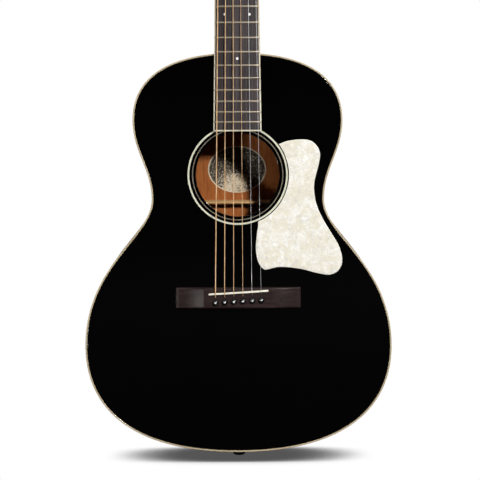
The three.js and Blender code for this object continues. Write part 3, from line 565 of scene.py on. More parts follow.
# ------------------------------------------------------------------ materials
class Graph:
    """Short-hand for the nodes of one material or of the world."""

    def __init__(self, owner):
        owner.use_nodes = True
        self.owner = owner
        self.tree = owner.node_tree
        self.shader = self.tree.nodes.get("Principled BSDF")

    def node(self, kind, inputs=None, **settings):
        made = self.tree.nodes.new("ShaderNode" + kind)
        for key, value in settings.items():
            setattr(made, key, value)
        for key, value in (inputs or {}).items():
            self.put(made.inputs[key], value)
        return made

    def put(self, socket, value):
        if isinstance(value, bpy.types.NodeSocket):
            self.tree.links.new(value, socket)
        else:
            socket.default_value = value

    def vector(self, operation, a, b=(0, 0, 0), output=0):
        return self.node("VectorMath", {0: a, 1: b}, operation=operation).outputs[output]

    def where(self, scale=(1, 1, 1), source="Object", mirror=False):
        """Places in metres (or UV) multiplied by scale."""
        at = self.node("TexCoord").outputs[source]
        if mirror:
            at = self.vector("ABSOLUTE", at)
        return self.vector("MULTIPLY", at, scale)

    def part(self, vector, which):
        return self.node("SeparateXYZ", {0: vector}).outputs[which]

    def noise(self, vector, scale=1.0, detail=4.0, rough=0.55, distort=0.0):
        values = {"Vector": vector, "Scale": scale, "Detail": detail,
                  "Roughness": rough, "Distortion": distort}
        return self.node("TexNoise", values).outputs["Fac"]

    def math(self, operation, a, b=0.0):
        return self.node("Math", {0: a, 1: b}, operation=operation).outputs[0]

    def sum(self, *parts):
        """The sum of (value, weight) pairs."""
        total = self.math("MULTIPLY", *parts[0])
        for value, weight in parts[1:]:
            total = self.math("ADD", total, self.math("MULTIPLY", value, weight))
        return total

    def remap(self, value, a, b, c=0.0, d=1.0, kind="LINEAR"):
        values = {"Value": value, "From Min": a, "From Max": b, "To Min": c, "To Max": d}
        return self.node("MapRange", values, interpolation_type=kind).outputs["Result"]

    def blend(self, factor, a, b, mode="MIX"):
        made = self.node("Mix", data_type="RGBA", blend_type=mode)
        self.put(made.inputs[0], factor)
        for socket, value in ((made.inputs[6], a), (made.inputs[7], b)):
            colour = value if isinstance(value, bpy.types.NodeSocket) else (*value, 1.0)
            self.put(socket, colour)
        return made.outputs[2]

    def ramp(self, value, *stops):
        """Colours at places from 0 to 1: (place, (r, g, b)) and so on."""
        made = self.node("ValToRGB", {"Fac": value})
        line = made.color_ramp
        while len(line.elements) < len(stops):
            line.elements.new(0.5)
        for element, (place, colour) in zip(line.elements, stops):
            element.position = place
            element.color = (*colour, 1.0)
        return made.outputs["Color"]

    def grey(self, value):
        return self.node("CombineXYZ", {0: value, 1: value, 2: value}).outputs[0]

    def bump(self, height, distance, strength=1.0, under=None):
        values = {"Height": height, "Distance": distance, "Strength": strength}
        if under:
            values["Normal"] = under
        return self.node("Bump", values).outputs["Normal"]

    def by_ray(self, seen, other):
        """seen for what the camera looks at directly, and other for every other ray."""
        direct = self.node("LightPath").outputs["Is Camera Ray"]
        return self.node("MixShader", {0: direct, 1: other, 2: seen}).outputs[0]

    def done(self, colour, rough, normal=None, coat=None, **uniform):
        """The finished material; coat is a clear coat's weight and roughness."""
        self.put(self.shader.inputs["Base Color"], colour)
        self.put(self.shader.inputs["Roughness"], rough)
        if normal:
            self.put(self.shader.inputs["Normal"], normal)
        if coat:
            uniform.update(Coat_Weight=coat[0], Coat_Roughness=coat[1])
        for key, value in uniform.items():
            self.shader.inputs[key.replace("_", " ")].default_value = value
        return self.owner


def smudges(g, at, low, high):
    """Roughness between low and high, with soft handling marks and fine scuffs."""
    mixed = g.sum((g.noise(at, 22.0, 3.0), 0.75), (g.noise(at, 900.0, 2.0), 0.25))
    return g.remap(mixed, 0.3, 0.7, low, high)


def black_gloss_lacquer(g):
    at = g.where()
    lines = g.noise(g.where((700, 700, 5)), 1.0, 3.0)
    peel = g.noise(at, 260.0, 2.0)
    colour = g.blend(g.noise(at, 9.0, 3.0), (0.0004, 0.0004, 0.0005), (0.0009, 0.0007, 0.0007))
    normal = g.bump(peel, 0.00002, 0.5, g.bump(lines, 0.00001, 0.4))
    return g.done(colour, smudges(g, at, 0.05, 0.10), normal, (0.4, 0.03), Specular_IOR_Level=0.4)


def wood_tones(g, across, along, tones, pores, pore_tone, source="Object", mirror=False, axis=2):
    """(colour, pore mask) of straight-grained wood whose grain runs along axis."""
    def stretched(fine, coarse):
        scale = [fine, fine, fine]
        scale[axis] = coarse
        return g.where(tuple(scale), source, mirror)

    rings = g.noise(stretched(across, along), 1.0, 5.0, 0.6, 0.35)
    fine = g.noise(stretched(across * 4.5, along * 2.2), 1.0, 3.0, 0.6)
    cloud = g.noise(stretched(across * 0.12, along * 0.6), 1.0, 2.0)
    total = g.sum((rings, 0.55), (fine, 0.25), (cloud, 0.20))
    dark, middle, light = tones
    colour = g.ramp(total, (0.36, dark), (0.5, middle), (0.64, light))
    mask = g.remap(g.noise(stretched(pores, pores * 0.035), 1.0, 2.0, 0.5), 0.60, 0.70)
    return g.blend(g.math("MULTIPLY", mask, 0.75), colour, pore_tone), mask


def mahogany(g, source="Object", mirror=False, axis=2):
    """Glossy figured wood; mirrored about the middle, it has a seam there."""
    tones = ((0.060, 0.016, 0.0065), (0.135, 0.040, 0.0155), (0.225, 0.075, 0.030))
    colour, pores = wood_tones(g, 190, 7, tones, 1500, (0.020, 0.006, 0.003), source, mirror, axis)
    at = g.where()
    if mirror:
        seam = g.math("LESS_THAN", g.math("ABSOLUTE", g.part(at, 0)), 0.00025)
        colour = g.blend(seam, colour, (0.02, 0.008, 0.004))
    normal = g.bump(pores, 0.00002, -0.12, g.bump(g.noise(at, 240.0, 2.0), 0.00002, 0.2))
    return g.done(colour, smudges(g, at, 0.22, 0.36), normal, (0.8, 0.06))


def mahogany_raw(g):
    tones = ((0.24, 0.061, 0.0080), (0.35, 0.101, 0.0150), (0.45, 0.148, 0.028))
    colour, pores = wood_tones(g, 230, 8, tones, 1300, (0.13, 0.031, 0.004))
    return g.done(colour, g.remap(pores, 0, 1, 0.62, 0.8), g.bump(pores, 0.0001, -0.6),
                  Specular_IOR_Level=0.3)


def spruce(g):
    tones = ((0.48, 0.26, 0.090), (0.64, 0.39, 0.165), (0.73, 0.48, 0.23))
    colour, pores = wood_tones(g, 420, 6, tones, 1900, (0.46, 0.28, 0.12), axis=0)
    return g.done(colour, g.remap(pores, 0, 1, 0.55, 0.7), g.bump(pores, 0.00006, -0.5),
                  Specular_IOR_Level=0.3)


def maple(g):
    tones = ((0.50, 0.34, 0.18), (0.62, 0.45, 0.26), (0.70, 0.53, 0.33))
    colour, pores = wood_tones(g, 150, 12, tones, 1700, (0.36, 0.22, 0.11), axis=0)
    return g.done(colour, g.remap(pores, 0, 1, 0.5, 0.68), g.bump(pores, 0.00004, -0.4))


def ebony(g):
    tones = ((0.010, 0.007, 0.008), (0.036, 0.027, 0.029), (0.100, 0.078, 0.076))
    colour, pores = wood_tones(g, 520, 7, tones, 2100, (0.008, 0.006, 0.006))
    wear = g.remap(g.noise(g.where((60, 60, 26)), 1.0, 3.0), 0.50, 0.75, 0.0, 0.30)
    colour = g.blend(wear, colour, (0.070, 0.056, 0.054))
    return g.done(colour, g.remap(wear, 0.0, 0.3, 0.56, 0.42), g.bump(pores, 0.00008, -0.5),
                  Specular_IOR_Level=0.22)


def rosewood(g):
    tones = ((0.008, 0.0034, 0.0032), (0.0190, 0.0096, 0.0088), (0.045, 0.024, 0.022))
    colour, pores = wood_tones(g, 330, 12, tones, 1500, (0.009, 0.005, 0.004), axis=0)
    return g.done(colour, smudges(g, g.where(), 0.36, 0.46), g.bump(pores, 0.0001, -0.6),
                  Specular_IOR_Level=0.2)


def ivoroid(g, painted_light_below=0.0):
    """Grained celluloid; given a height in metres, what lies below it is painted paler: painted
    light.
    """
    at = g.where()
    wavy = g.noise(g.where((900, 900, 60)), 1.0, 3.0, 0.6, 0.6)
    colour = g.ramp(g.sum((wavy, 0.6), (g.noise(at, 34.0, 3.0), 0.4)),
                    (0.36, (0.37, 0.285, 0.165)), (0.50, (0.46, 0.37, 0.235)),
                    (0.66, (0.54, 0.455, 0.30)))
    # painted light: the colour is lifted paler below the given height
    if painted_light_below:
        pale = g.remap(g.part(at, 2), painted_light_below - 0.05, painted_light_below + 0.05, 0.85, 0.0)
        colour = g.blend(pale, colour, (0.84, 0.80, 0.64))
    return g.done(colour, smudges(g, at, 0.26, 0.42), g.bump(wavy, 0.00002, 0.3), (0.4, 0.12))


def ring_plastic(g, low, high):
    cloud = g.noise(g.where(), 300.0, 3.0)
    colour = g.ramp(cloud, (0.36, low), (0.66, high))
    return g.done(colour, smudges(g, g.where(), 0.24, 0.38), g.bump(cloud, 0.00001, 0.3),
                  (0.4, 0.1))


def bone(g):
    cloud = g.noise(g.where((140, 300, 300)), 1.0, 4.0, 0.6)
    colour = g.ramp(cloud, (0.35, (0.74, 0.68, 0.53)), (0.52, (0.86, 0.82, 0.69)),
                    (0.68, (0.92, 0.90, 0.81)))
    specks = g.noise(g.where(), 1400.0, 2.0)
    return g.done(colour, g.remap(specks, 0.3, 0.7, 0.24, 0.40), g.bump(specks, 0.00002, 0.3),
                  (0.3, 0.1))


def button_ivory(g):
    swirl = g.noise(g.where(), 190.0, 4.0, 0.6, 1.2)
    colour = g.ramp(swirl, (0.34, (0.55, 0.47, 0.30)), (0.5, (0.70, 0.63, 0.46)),
                    (0.68, (0.80, 0.76, 0.62)))
    return g.done(colour, smudges(g, g.where(), 0.16, 0.30), g.bump(swirl, 0.00002, 0.2),
                  (0.5, 0.08))


def white_pearloid(g, lift=0.0):
    """Cream flakes with wavy white streaks in drifts; lift makes the flakes paler."""
    at = g.where()
    wobble = g.node("TexNoise", {"Vector": at, "Scale": 130.0, "Detail": 2.0}).outputs["Color"]
    bent = g.vector("ADD", at, g.vector("MULTIPLY", wobble, (0.004, 0.004, 0.004)))
    cells = g.node("TexVoronoi", {"Vector": bent, "Scale": 250.0}).outputs["Color"]
    flakes = g.node("TexVoronoi", {"Vector": bent, "Scale": 620.0}).outputs["Color"]
    tone, glint = g.part(cells, 0), g.part(flakes, 1)
    creams = ((0.0, (0.72, 0.69, 0.61)), (0.22, (0.77, 0.725, 0.605)), (0.60, (0.80, 0.75, 0.625)))
    lifted = [(place, tuple(c + lift for c in cream)) for place, cream in creams]
    colour = g.ramp(tone, *lifted, (0.85, (0.83, 0.785, 0.665)), (1.0, (0.88, 0.85, 0.76)))
    drift = g.remap(g.noise(at, 60.0, 3.0, 0.5, 1.0), 0.44, 0.60)
    off = g.math("ABSOLUTE", g.math("SUBTRACT", g.noise(at, 170.0, 2.0, 0.5, 2.6), 0.5))
    streak = g.remap(off, 0.012, 0.055, 1.0, 0.0)
    glitter = g.remap(glint, 0.45, 0.95, 0.0, 0.35)
    shine = g.math("MULTIPLY", drift, g.math("MAXIMUM", streak, glitter))
    colour = g.blend(shine, colour, (1.0, 1.0, 1.0))
    normal = g.bump(g.math("ADD", tone, glint), 0.00003, 0.25)
    return g.done(colour, g.remap(glint, 0.0, 1.0, 0.36, 0.18), normal, (0.8, 0.05))


def pearl_shell(g):
    bands = g.noise(g.where(), 420.0, 4.0, 0.6, 2.2)
    colour = g.ramp(bands, (0.30, (0.62, 0.70, 0.70)), (0.45, (0.90, 0.91, 0.87)),
                    (0.58, (0.94, 0.87, 0.85)), (0.72, (0.80, 0.88, 0.84)))
    return g.done(colour, g.remap(bands, 0.3, 0.7, 0.16, 0.34), g.bump(bands, 0.00002, 0.2),
                  (0.5, 0.06))


def black_plastic(g):
    at = g.where()
    colour = g.blend(g.noise(at, 40.0, 3.0), (0.0045, 0.0045, 0.005), (0.009, 0.0085, 0.008))
    scratch = g.noise(g.where((2200, 300, 2200)), 1.0, 2.0)
    return g.done(colour, smudges(g, at, 0.16, 0.34), g.bump(scratch, 0.00001, 0.35))


def paper(g):
    """An oval maker's ticket with an engraved leafy ground and a ruled border, but no writing."""
    at = g.where()
    uv = g.node("TexCoord").outputs["UV"]
    centred = g.vector("SUBTRACT", uv, (0.5, 0.5, 0.0))
    reach = g.math("MULTIPLY", g.vector("LENGTH", centred, output=1), 2.0)
    leaves = g.noise(at, 250.0, 4.0, 0.65, 2.8)
    veins = g.noise(at, 620.0, 3.0, 0.6, 1.8)
    ink = g.sum((leaves, 0.55), (veins, 0.45))
    # painted light: the ink thins around a spot low in the middle, so the ticket and its marks are
    # lighter there
    from_painted_light = g.vector("SUBTRACT", uv, (0.45, 0.17, 0.0))
    from_painted_light = g.vector("MULTIPLY", from_painted_light, (3.3, 3.3, 0.0))
    limit = g.remap(g.vector("LENGTH", from_painted_light, output=1), 0.45, 1.10, 0.455, 0.565)
    ink_and_painted_light = g.remap(g.math("SUBTRACT", ink, limit), -0.02, 0.02, 0.97, 0.0)
    marks = g.math("MULTIPLY", ink_and_painted_light, g.math("LESS_THAN", reach, 0.955))
    aged = g.ramp(g.noise(at, 60.0, 4.0), (0.35, (0.62, 0.50, 0.34)), (0.65, (0.76, 0.65, 0.48)))
    colour = g.blend(marks, aged, (0.016, 0.012, 0.009))
    fibres = g.noise(at, 2600.0, 3.0)
    return g.done(colour, g.remap(fibres, 0.3, 0.7, 0.75, 0.92), g.bump(fibres, 0.00004, 0.5))


def plated(g, tone, low, high, grain=(90, 1600, 1600), metal=1.0):
    """Brushed and slightly stained metal whose roughness runs from low to high."""
    at = g.where()
    lines = g.noise(g.where(grain), 1.0, 3.0)
    stain = g.remap(g.noise(at, 120.0, 4.0), 0.55, 0.75, 0.0, 0.35)
    colour = g.blend(stain, tone, tuple(0.55 * c for c in tone))
    rough = g.remap(g.math("ADD", lines, g.noise(at, 60.0, 2.0)), 0.6, 1.4, low, high)
    return g.done(colour, rough, g.bump(lines, 0.00001, 0.35), Metallic=metal)


def bronze(g):
    """Bronze wire wrapped round a core, as one ridge after another along the string."""
    u = g.part(g.node("TexCoord").outputs["UV"], 0)
    wave = g.math("SINE", g.math("MULTIPLY", u, 2 * math.pi / (STRING_RIDGE * MM)))
    tarnish = g.noise(g.where(), 70.0, 4.0)
    colour = g.ramp(tarnish, (0.35, (0.84, 0.50, 0.24)), (0.5, (0.98, 0.64, 0.34)),
                    (0.68, (1.0, 0.74, 0.45)))
    # painted shade: the colour darkens in the grooves between the turns of wire
    colour = g.blend(1.0, colour, g.grey(g.remap(wave, -1.0, 1.0, 0.62, 1.0)), "MULTIPLY")
    return g.done(colour, g.remap(tarnish, 0.3, 0.7, 0.50, 0.36), g.bump(wave, 0.00006, 0.6),
                  Metallic=0.45)


MAKERS = {
    "black_gloss_lacquer": black_gloss_lacquer, "mahogany_gloss": mahogany,
    "mahogany_raw": mahogany_raw, "spruce": spruce, "maple": maple, "ivoroid": ivoroid,
    "ebony": ebony, "rosewood": rosewood, "bone": bone, "white_pearloid": white_pearloid,
    "black_plastic": black_plastic, "paper": paper, "bronze": bronze,
    "button_ivory": button_ivory, "pearl_shell": pearl_shell,
    "mahogany_side": lambda g: mahogany(g, "UV", axis=0),
    "mahogany_back": lambda g: mahogany(g, mirror=True),
    # the board's binding is painted paler where it lies over the body: painted light
    "board_ivoroid": lambda g: ivoroid(g, BODY_TOP * MM),
    "pearloid_edge": lambda g: white_pearloid(g, 0.15),
    "rosette_white": lambda g: ring_plastic(g, (0.56, 0.55, 0.42), (0.68, 0.67, 0.53)),
    "rosette_grey": lambda g: ring_plastic(g, (0.26, 0.22, 0.165), (0.36, 0.31, 0.24)),
    "nickel": lambda g: plated(g, (0.66, 0.63, 0.58), 0.16, 0.34),
    "fret_nickel": lambda g: plated(g, (0.39, 0.33, 0.25), 0.40, 0.52, metal=0.75),
    "steel": lambda g: plated(g, (0.94, 0.95, 0.97), 0.32, 0.44, (1500, 1500, 40), 0.85),
    "gear_brass": lambda g: plated(g, (0.72, 0.52, 0.24), 0.24, 0.42),
}
made_materials = {}


def material(name):
    if name not in made_materials:
        graph = Graph(bpy.data.materials.new(name.replace("_", " ")))
        made_materials[name] = MAKERS[name](graph)
    return made_materials[name]


# ------------------------------------------------------------------ body
def build_soundboard():
    loops = [body_loop(SEAT), circle(HOLE_R, HOLE_Z, steps=128)]
    loops += [pin_loop(i) for i in STRINGS]
    top = slab("top", loops, FRONT, FRONT + TOP_THICK, soft_near=0.5, soft_far=0.3)
    finish_piece(top, "black_gloss_lacquer", "soundboard")


def body_loop(inset):
    return mirrored(half_outline(inset))


def pin_loop(i):
    """Outline of the hole for string i's pin, with the string's slot towards the saddle."""
    x, z = pin_place(i)
    side = STRING_R[i] + GAP
    far = PIN_EXIT + side
    start = math.acos(side / PIN_HOLE)
    arc = [(x + PIN_HOLE * math.cos(a), z + PIN_HOLE * math.sin(a))
           for a in evenly(math.pi - start, 2 * math.pi + start, 24)]
    return arc + [(x + side, z + far), (x - side, z + far)]


def build_rosette():
    inner, line = ROSETTE_INNER, ROSETTE_LINE
    rings = (("band", ROSETTE_OUTER, "rosette_white", "rosette_outer"),
             ("line_a", (inner[0], inner[0] + line), "rosette_grey", "rosette_inner"),
             ("line_b", (inner[1] - line, inner[1]), "rosette_grey", "rosette_inner"))
    for name, (low, high), look, node in rings:
        loops = [circle(r, HOLE_Z, steps=128) for r in (high, low)]
        ring = slab(f"rosette_{name}", loops, FRONT - 2 * SLIVER, FRONT + ROSETTE_DEEP)
        finish_piece(ring, "ivoroid", node, look=look)


def build_shell():
    """The two bindings, and between them each side as a glossy skin on a raw inner face."""
    front_edge = lambda x, z: FRONT + BINDING_HEIGHT
    back_edge = lambda x, z: back_face(x, z) - BINDING_HEIGHT
    width = (0, BINDING_WIDTH)
    front = band("front_binding", width, lambda x, z: FRONT, front_edge, soft=0.7)
    finish_piece(front, "ivoroid", "binding_front")
    back = band("back_binding", width, back_edge, back_face, soft=0.7)
    finish_piece(back, "ivoroid", "binding_back")
    near = lambda x, z: front_edge(x, z) + 0.05
    far = lambda x, z: back_edge(x, z) - 0.05
    half = RIM_THICK / 2
    for name, side in (("bass", -1), ("treble", 1)):
        skin = band(f"side_{name}", (0.1, half), near, far, side)
        finish_piece(skin, "mahogany_gloss", f"rim_{name}", look="mahogany_side")
        inner = band(f"side_{name}_inside", (half, RIM_THICK), near, far, side)
        finish_piece(inner, "mahogany_raw", f"rim_{name}")


def arched_sheet(name, inset, near, far, columns=40):
    """A sheet inside the outline that follows two arched faces."""
    half = half_outline(inset)
    points = [(at, face(at, z), z) for face in (near, far) for x, z in half
              for at in evenly(-x, x, columns)]
    width = columns + 1
    layer = len(half) * width
    faces = sheet_pair(len(half), width, False)
    for a in range(0, layer - width, width):
        for b in (a, a + columns):
            faces.append((b, b + width, b + width + layer, b + layer))
    return solid(name, points, faces)


def build_back():
    split = lambda x, z: back_face(x, z) - BACK_THICK / 2
    inside = lambda x, z: back_face(x, z) - BACK_THICK
    outer = arched_sheet("back", SEAT, split, back_face)
    finish_piece(outer, "mahogany_gloss", "back_plate", look="mahogany_back")
    inner = arched_sheet("back_inside", SEAT, inside, split)
    finish_piece(inner, "mahogany_raw", "back_plate")


def build_kerfed_lining(name, node, near, far):
    """Triangular blocks side by side, bent round inside the rim."""
    against = RIM_THICK + GAP
    loops = [mirrored(half_outline(inset, 60)) for inset in (against, against + LINING_WIDTH)]
    outer, inner = (loop + loop[:1] for loop in loops)
    travel = travelled(outer)
    points, faces = [], []
    run = 0.0
    while run + KERF_BLOCK < travel[-1]:
        a = len(points)
        for end in (run, run + KERF_BLOCK):
            (xo, zo), (xi, zi) = (point_at(loop, travel, end) for loop in (outer, inner))
            points += [(xo, near(xo, zo), zo), (xo, far(xo, zo), zo),
                       (mix(xo, xi, 0.3), far(xo, zo), mix(zo, zi, 0.3)), (xi, near(xi, zi), zi)]
        faces += [(a, a + 1, a + 2, a + 3), (a + 7, a + 6, a + 5, a + 4), *quads(2, 4, a)]
        run += KERF_STEP
    finish_piece(solid(name, points, faces), "mahogany_raw", node)


def build_linings():
    front = FRONT + TOP_THICK
    back = lambda x, z: back_face(x, z) - BACK_THICK
    build_kerfed_lining("front_kerfing", "lining_front", lambda x, z: front,
                        lambda x, z: front + LINING_HEIGHT)
    build_kerfed_lining("back_kerfing", "lining_back", back,
                        lambda x, z: back(x, z) - LINING_HEIGHT)


def dress_inside():
    """The blocks and top braces stay as CAD shapes with rounded edges."""
    looks = {"neck_block": ("mahogany_raw", 1.0), "tail_block": ("mahogany_raw", 1.0),
             "bridge_plate": ("maple", 0.4), "truss_rod": ("steel", 0.2)}
    for name in ("x_brace_bass", "x_brace_treble", "upper_transverse_brace", "tone_bar"):
        looks[name] = ("spruce", 2.2)
    for name, (look, width) in looks.items():
        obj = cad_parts[name]
        obj.data.materials.clear()
        obj.data.materials.append(material(look))
        obj.data.shade_smooth()
        soften(obj, width)


def build_back_braces():
    """Bars across the back with shaped ridges, thinned towards both ends."""
    thin, taper, shoulder = 2.5, 45.0, 0.42
    for number in range(1, 5):
        node = f"back_brace_{number}"
        low, high = (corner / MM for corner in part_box(node))
        middle, half_wide = (low.z + high.z) / 2, (high.z - low.z) / 2
        half = (high.x - low.x) / 2
        tall = back_face(0, middle) - BACK_THICK - low.y
        rings = []
        for x in evenly(-half, half, 60):
            near = back_face(x, middle) - BACK_THICK
            rise = mix(thin, tall, smooth((half - abs(x)) / taper))
            section = [(-half_wide, 0.0)]
            for t in evenly(-1, 1, 12):
                ridge = (1 - abs(t) ** 2.2) ** 0.8
                section.append((half_wide * t, rise * mix(shoulder, 1, ridge)))
            section.append((half_wide, 0.0))
            rings.append([(x, near - h, middle + dz) for dz, h in section])
        finish_piece(loft(f"back_bar_{number}", rings, degrees=50), "spruce", node)


def build_label():
    """A thin oval of paper bent to the back's inner face."""
    rings, around = 10, turns(96)
    points, uvs = [], []
    for lift in (LABEL_THICK, 0.0):
        for r in evenly(0, 1, rings):
            for a in around:
                u, v = r * math.cos(a), r * math.sin(a)
                x, z = LABEL_MIDDLE[0] + LABEL_HALF[0] * u, LABEL_MIDDLE[1] + LABEL_HALF[1] * v
                points.append((x, back_face(x, z) - BACK_THICK - lift, z))
                uvs.append((0.5 + u / 2, 0.5 + v / 2))
    count = len(around)
    layer = (rings + 1) * count
    faces = sheet_pair(rings + 1, count, True)
    for k in range(count):
        a, b = rings * count + k, rings * count + (k + 1) % count
        faces.append((a, b, b + layer, a + layer))
    finish_piece(solid("label", points, faces, uvs), "paper", "paper_label")


def build_end_pin():
    profile = [(0.0, 0.0), (5.0, 0.0), (7.0, 1.0), (7.6, 2.6), (7.6, 4.8), (7.0, 5.9), (6.0, 7.2),
               (5.6, 8.6), (6.0, 10.0), (7.4, 11.2), (7.6, 12.0), (7.6, TAIL - GAP),
               (4.8, TAIL - GAP), (4.2, 32.0), (0.0, 32.0)]
    pin = lathe("strap_pin", profile, Matrix(), 48, soft=0.7, steps=4)
    finish_piece(pin, "black_plastic", "end_pin")
    wedge = rounded([(-5, FRONT + 6.2), (5, FRONT + 6.2), (3.4, 48), (-3.4, 48)], 0.3)
    y_for_z = Matrix(((1, 0, 0, 0), (0, 0, 1, 0), (0, 1, 0, 0), (0, 0, 0, 1)))
    strip = slab("tail_wedge", [wedge], TAIL - SLIVER, TAIL + 1.0, place=y_for_z)
    finish_piece(strip, "ivoroid")


def build_pickguard():
    start, end = GUARD_TURN
    on_circle = lambda a: (GUARD_R * math.cos(a), HOLE_Z + GUARD_R * math.sin(a))
    edge = spline([on_circle(start)] + [(x, TAIL + z) for x, z in GUARD_EDGE])
    arc = [on_circle(a) for a in evenly(end, start, 48)[:-1]]
    guard = slab("pick_guard", [edge + arc], FRONT - GAP - GUARD_THICK, FRONT - SLIVER,
                 soft_near=0.9)
    finish_piece(guard, "white_pearloid", "pickguard", edge="pearloid_edge")


# ------------------------------------------------------------------ bridge, saddle and pins
def pin_place(i):
    return PIN_X[i], PIN_Z + PIN_SLANT * PIN_X[i]


def across(half, i):
    """Where string i runs over a piece that spreads the strings over half to each side."""
    return half * (2 * i / (len(STRINGS) - 1) - 1)


def saddle_z(x):
    return SADDLE_MIDDLE[1] + SADDLE_SLANT * (x - SADDLE_MIDDLE[0])


def scooped(x):
    x = abs(x)
    if x <= BRIDGE_BLOCK:
        return BRIDGE_THICK
    if x >= BRIDGE_SCOOP:
        return BRIDGE_WING - BRIDGE_FALL * (x - BRIDGE_SCOOP) / (BRIDGE_HALF - BRIDGE_SCOOP)
    run = (x - BRIDGE_BLOCK) / (BRIDGE_SCOOP - BRIDGE_BLOCK)
    return BRIDGE_WING + (BRIDGE_THICK - BRIDGE_WING) * (1 - run) ** 2


def bridge_height(x, soft=0.6):
    """Height of the bridge's face at x, its two corners eased over soft to each side."""
    near = [scooped(at) for at in evenly(x - soft, x + soft, 8)]
    return sum(near) / len(near)


def bridge_ring(x, height, inset):
    z0, z1 = BRIDGE_Z[0] + inset, BRIDGE_Z[1] - inset
    corners = [(z0, 0.0), (z0, height), (z1, height), (z1, 0.0)]
    section = rounded(corners, min(2.2, height * 0.6), False, 6)
    return [(x, FRONT - SLIVER - h, z) for z, h in section]


def pin_hole_cutters(i):
    """A countersunk hole for string i's pin, and the slot that its string leaves by."""
    x, z = pin_place(i)
    wide = PIN_HOLE + 0.9
    hole = [(0.0, -14.0), (PIN_HOLE, -14.0), (PIN_HOLE, -0.9), (wide, 0.0), (wide, 3.0), (0.0, 3.0)]
    side = STRING_R[i] + 0.25
    far = z + PIN_EXIT + STRING_R[i] + GAP
    slot = [(far, -12.0), (far, 3.2), (far + 3.4, 12.0), (z, 12.0), (z, -12.0)]
    wedge = [[(sx, BRIDGE_FACE + 3.4 - h, pz) for pz, h in slot] for sx in (x - side, x + side)]
    return [lathe("hole", hole, aimed(x, BRIDGE_FACE, z), 32), loft("slot", wedge)]


def build_bridge():
    round_end = 1.4
    rows = []
    for a in (0.0, 0.4, 0.8, 1.2, 1.57):
        x, inset = BRIDGE_HALF - round_end * (1 - math.cos(a)), round_end * (1 - math.sin(a))
        rows.append((x, bridge_height(x) - 0.5 * inset, inset))
    middle = evenly(74.0, BRIDGE_SCOOP, 8) + evenly(BRIDGE_SCOOP, BRIDGE_BLOCK, 24)[1:-1]
    middle += [BRIDGE_BLOCK + 0.4 - 0.2 * k for k in range(6)] + [38.0, 30.0, 20.0, 10.0]
    rows += [(x, bridge_height(x) + GAP, 0.0) for x in middle]
    rows += [(0.0, BRIDGE_THICK + GAP, 0.0)]
    rows += [(-x, h, inset) for x, h, inset in rows[-2::-1]]
    bridge = loft("bridge_body", [bridge_ring(*row) for row in rows])
    cutters = [cutter for i in STRINGS for cutter in pin_hole_cutters(i)]
    cutters.append(saddle_strip("saddle_slot", 0.12, lambda x: BRIDGE_FACE - 6.0))
    finish_piece(carve(bridge, *cutters, degrees=32), "rosewood", "bridge")


def saddle_strip(name, slack, top_at, soft=0.0):
    """The strip under the strings, or its slot; its top edges are rounded by soft."""
    half, thick = SADDLE_HALF + slack, SADDLE_THICK / 2 + slack
    floor = BRIDGE_FACE + SADDLE_SUNK
    rings = []
    for x in evenly(-half, half, 24):
        top = top_at(x)
        profile = [(-thick, floor), (-thick, top), (thick, top), (thick, floor)]
        if soft:
            profile = rounded(profile, soft, False, 5)
        rings.append([(x, y, z) for z, y in profile])
    turn = Matrix.Rotation(-math.atan(SADDLE_SLANT), 4, "Y")
    place = Matrix.Translation((SADDLE_MIDDLE[0], 0, SADDLE_MIDDLE[1])) @ turn
    return loft(name, rings, degrees=40, place=place)


def build_saddle():
    saddle = saddle_strip("saddle_bone", 0.0, lambda x: FRONT - SADDLE_ACTION + crown(x), 1.1)
    finish_piece(saddle, "bone", "saddle")


def build_pin(i):
    """A turned pin with a groove for its string and a shell dot in its head."""
    number = len(STRINGS) - i
    body = f"bridge_pin_{number}"
    x, z = pin_place(i)
    at = aimed(x, BRIDGE_FACE - GAP, z)
    profile = [(0.0, -PIN_LENGTH), (PIN_TIP, -PIN_LENGTH), (PIN_SHANK, -1.2), (PIN_SHANK, -0.05),
               (3.1, 0.0), (PIN_HEAD, 0.5), (PIN_HEAD, 1.3), (3.3, 2.6), (2.2, 3.5), (0.9, 3.9),
               (0.0, 3.95)]
    pin = lathe(f"pin_{number}", profile, at, 36, soft=0.5, steps=4)
    groove = block("groove", (x - 0.7, BRIDGE_FACE + 0.8, z + 1.7),
                   (x + 0.7, BRIDGE_FACE + PIN_LENGTH + 2, z + 4))
    finish_piece(carve(pin, groove, degrees=40), "black_plastic", body, body=body)
    dot = [(1.0, 3.3), (1.0, 4.02), (0.85, 4.12), (0.0, 4.16)]
    pearl = lathe(f"pin_{number}_dot", dot, at, 24)
    finish_piece(pearl, "white_pearloid", body=body, look="pearl_shell")


# ------------------------------------------------------------------ neck
def table_at(rows, key, value, at):
    """Column value where column key, which only ever grows, is at: straight between the rows."""
    if at <= rows[0][key]:
        return rows[0][value]
    for a, b in zip(rows, rows[1:]):
        if at <= b[key]:
            return mix(a[value], b[value], (at - a[key]) / max(b[key] - a[key], 1e-9))
    return rows[-1][value]


def dense_heel():
    """The heel's slices with a smooth curve drawn through them."""
    columns = [spline([(row[0], row[c]) for row in HEEL], 8) for c in (1, 2)]
    return [(a[0], a[1], b[1]) for a, b in zip(*columns)]


HEEL_BY_DEPTH = dense_heel()
HEEL_BY_REACH = HEEL_BY_DEPTH[::-1]


def shaft_depth(z):
    return mix(SHAFT_NUT, SHAFT_BODY, (NUT_Z - z) / (NUT_Z - BODY_TOP))


def heel_depth(z):
    """How deep the heel reaches at height z."""
    reach = z - BODY_TOP
    return HEEL_BACK if reach <= HEEL[-1][2] else table_at(HEEL_BY_REACH, 2, 0, reach)


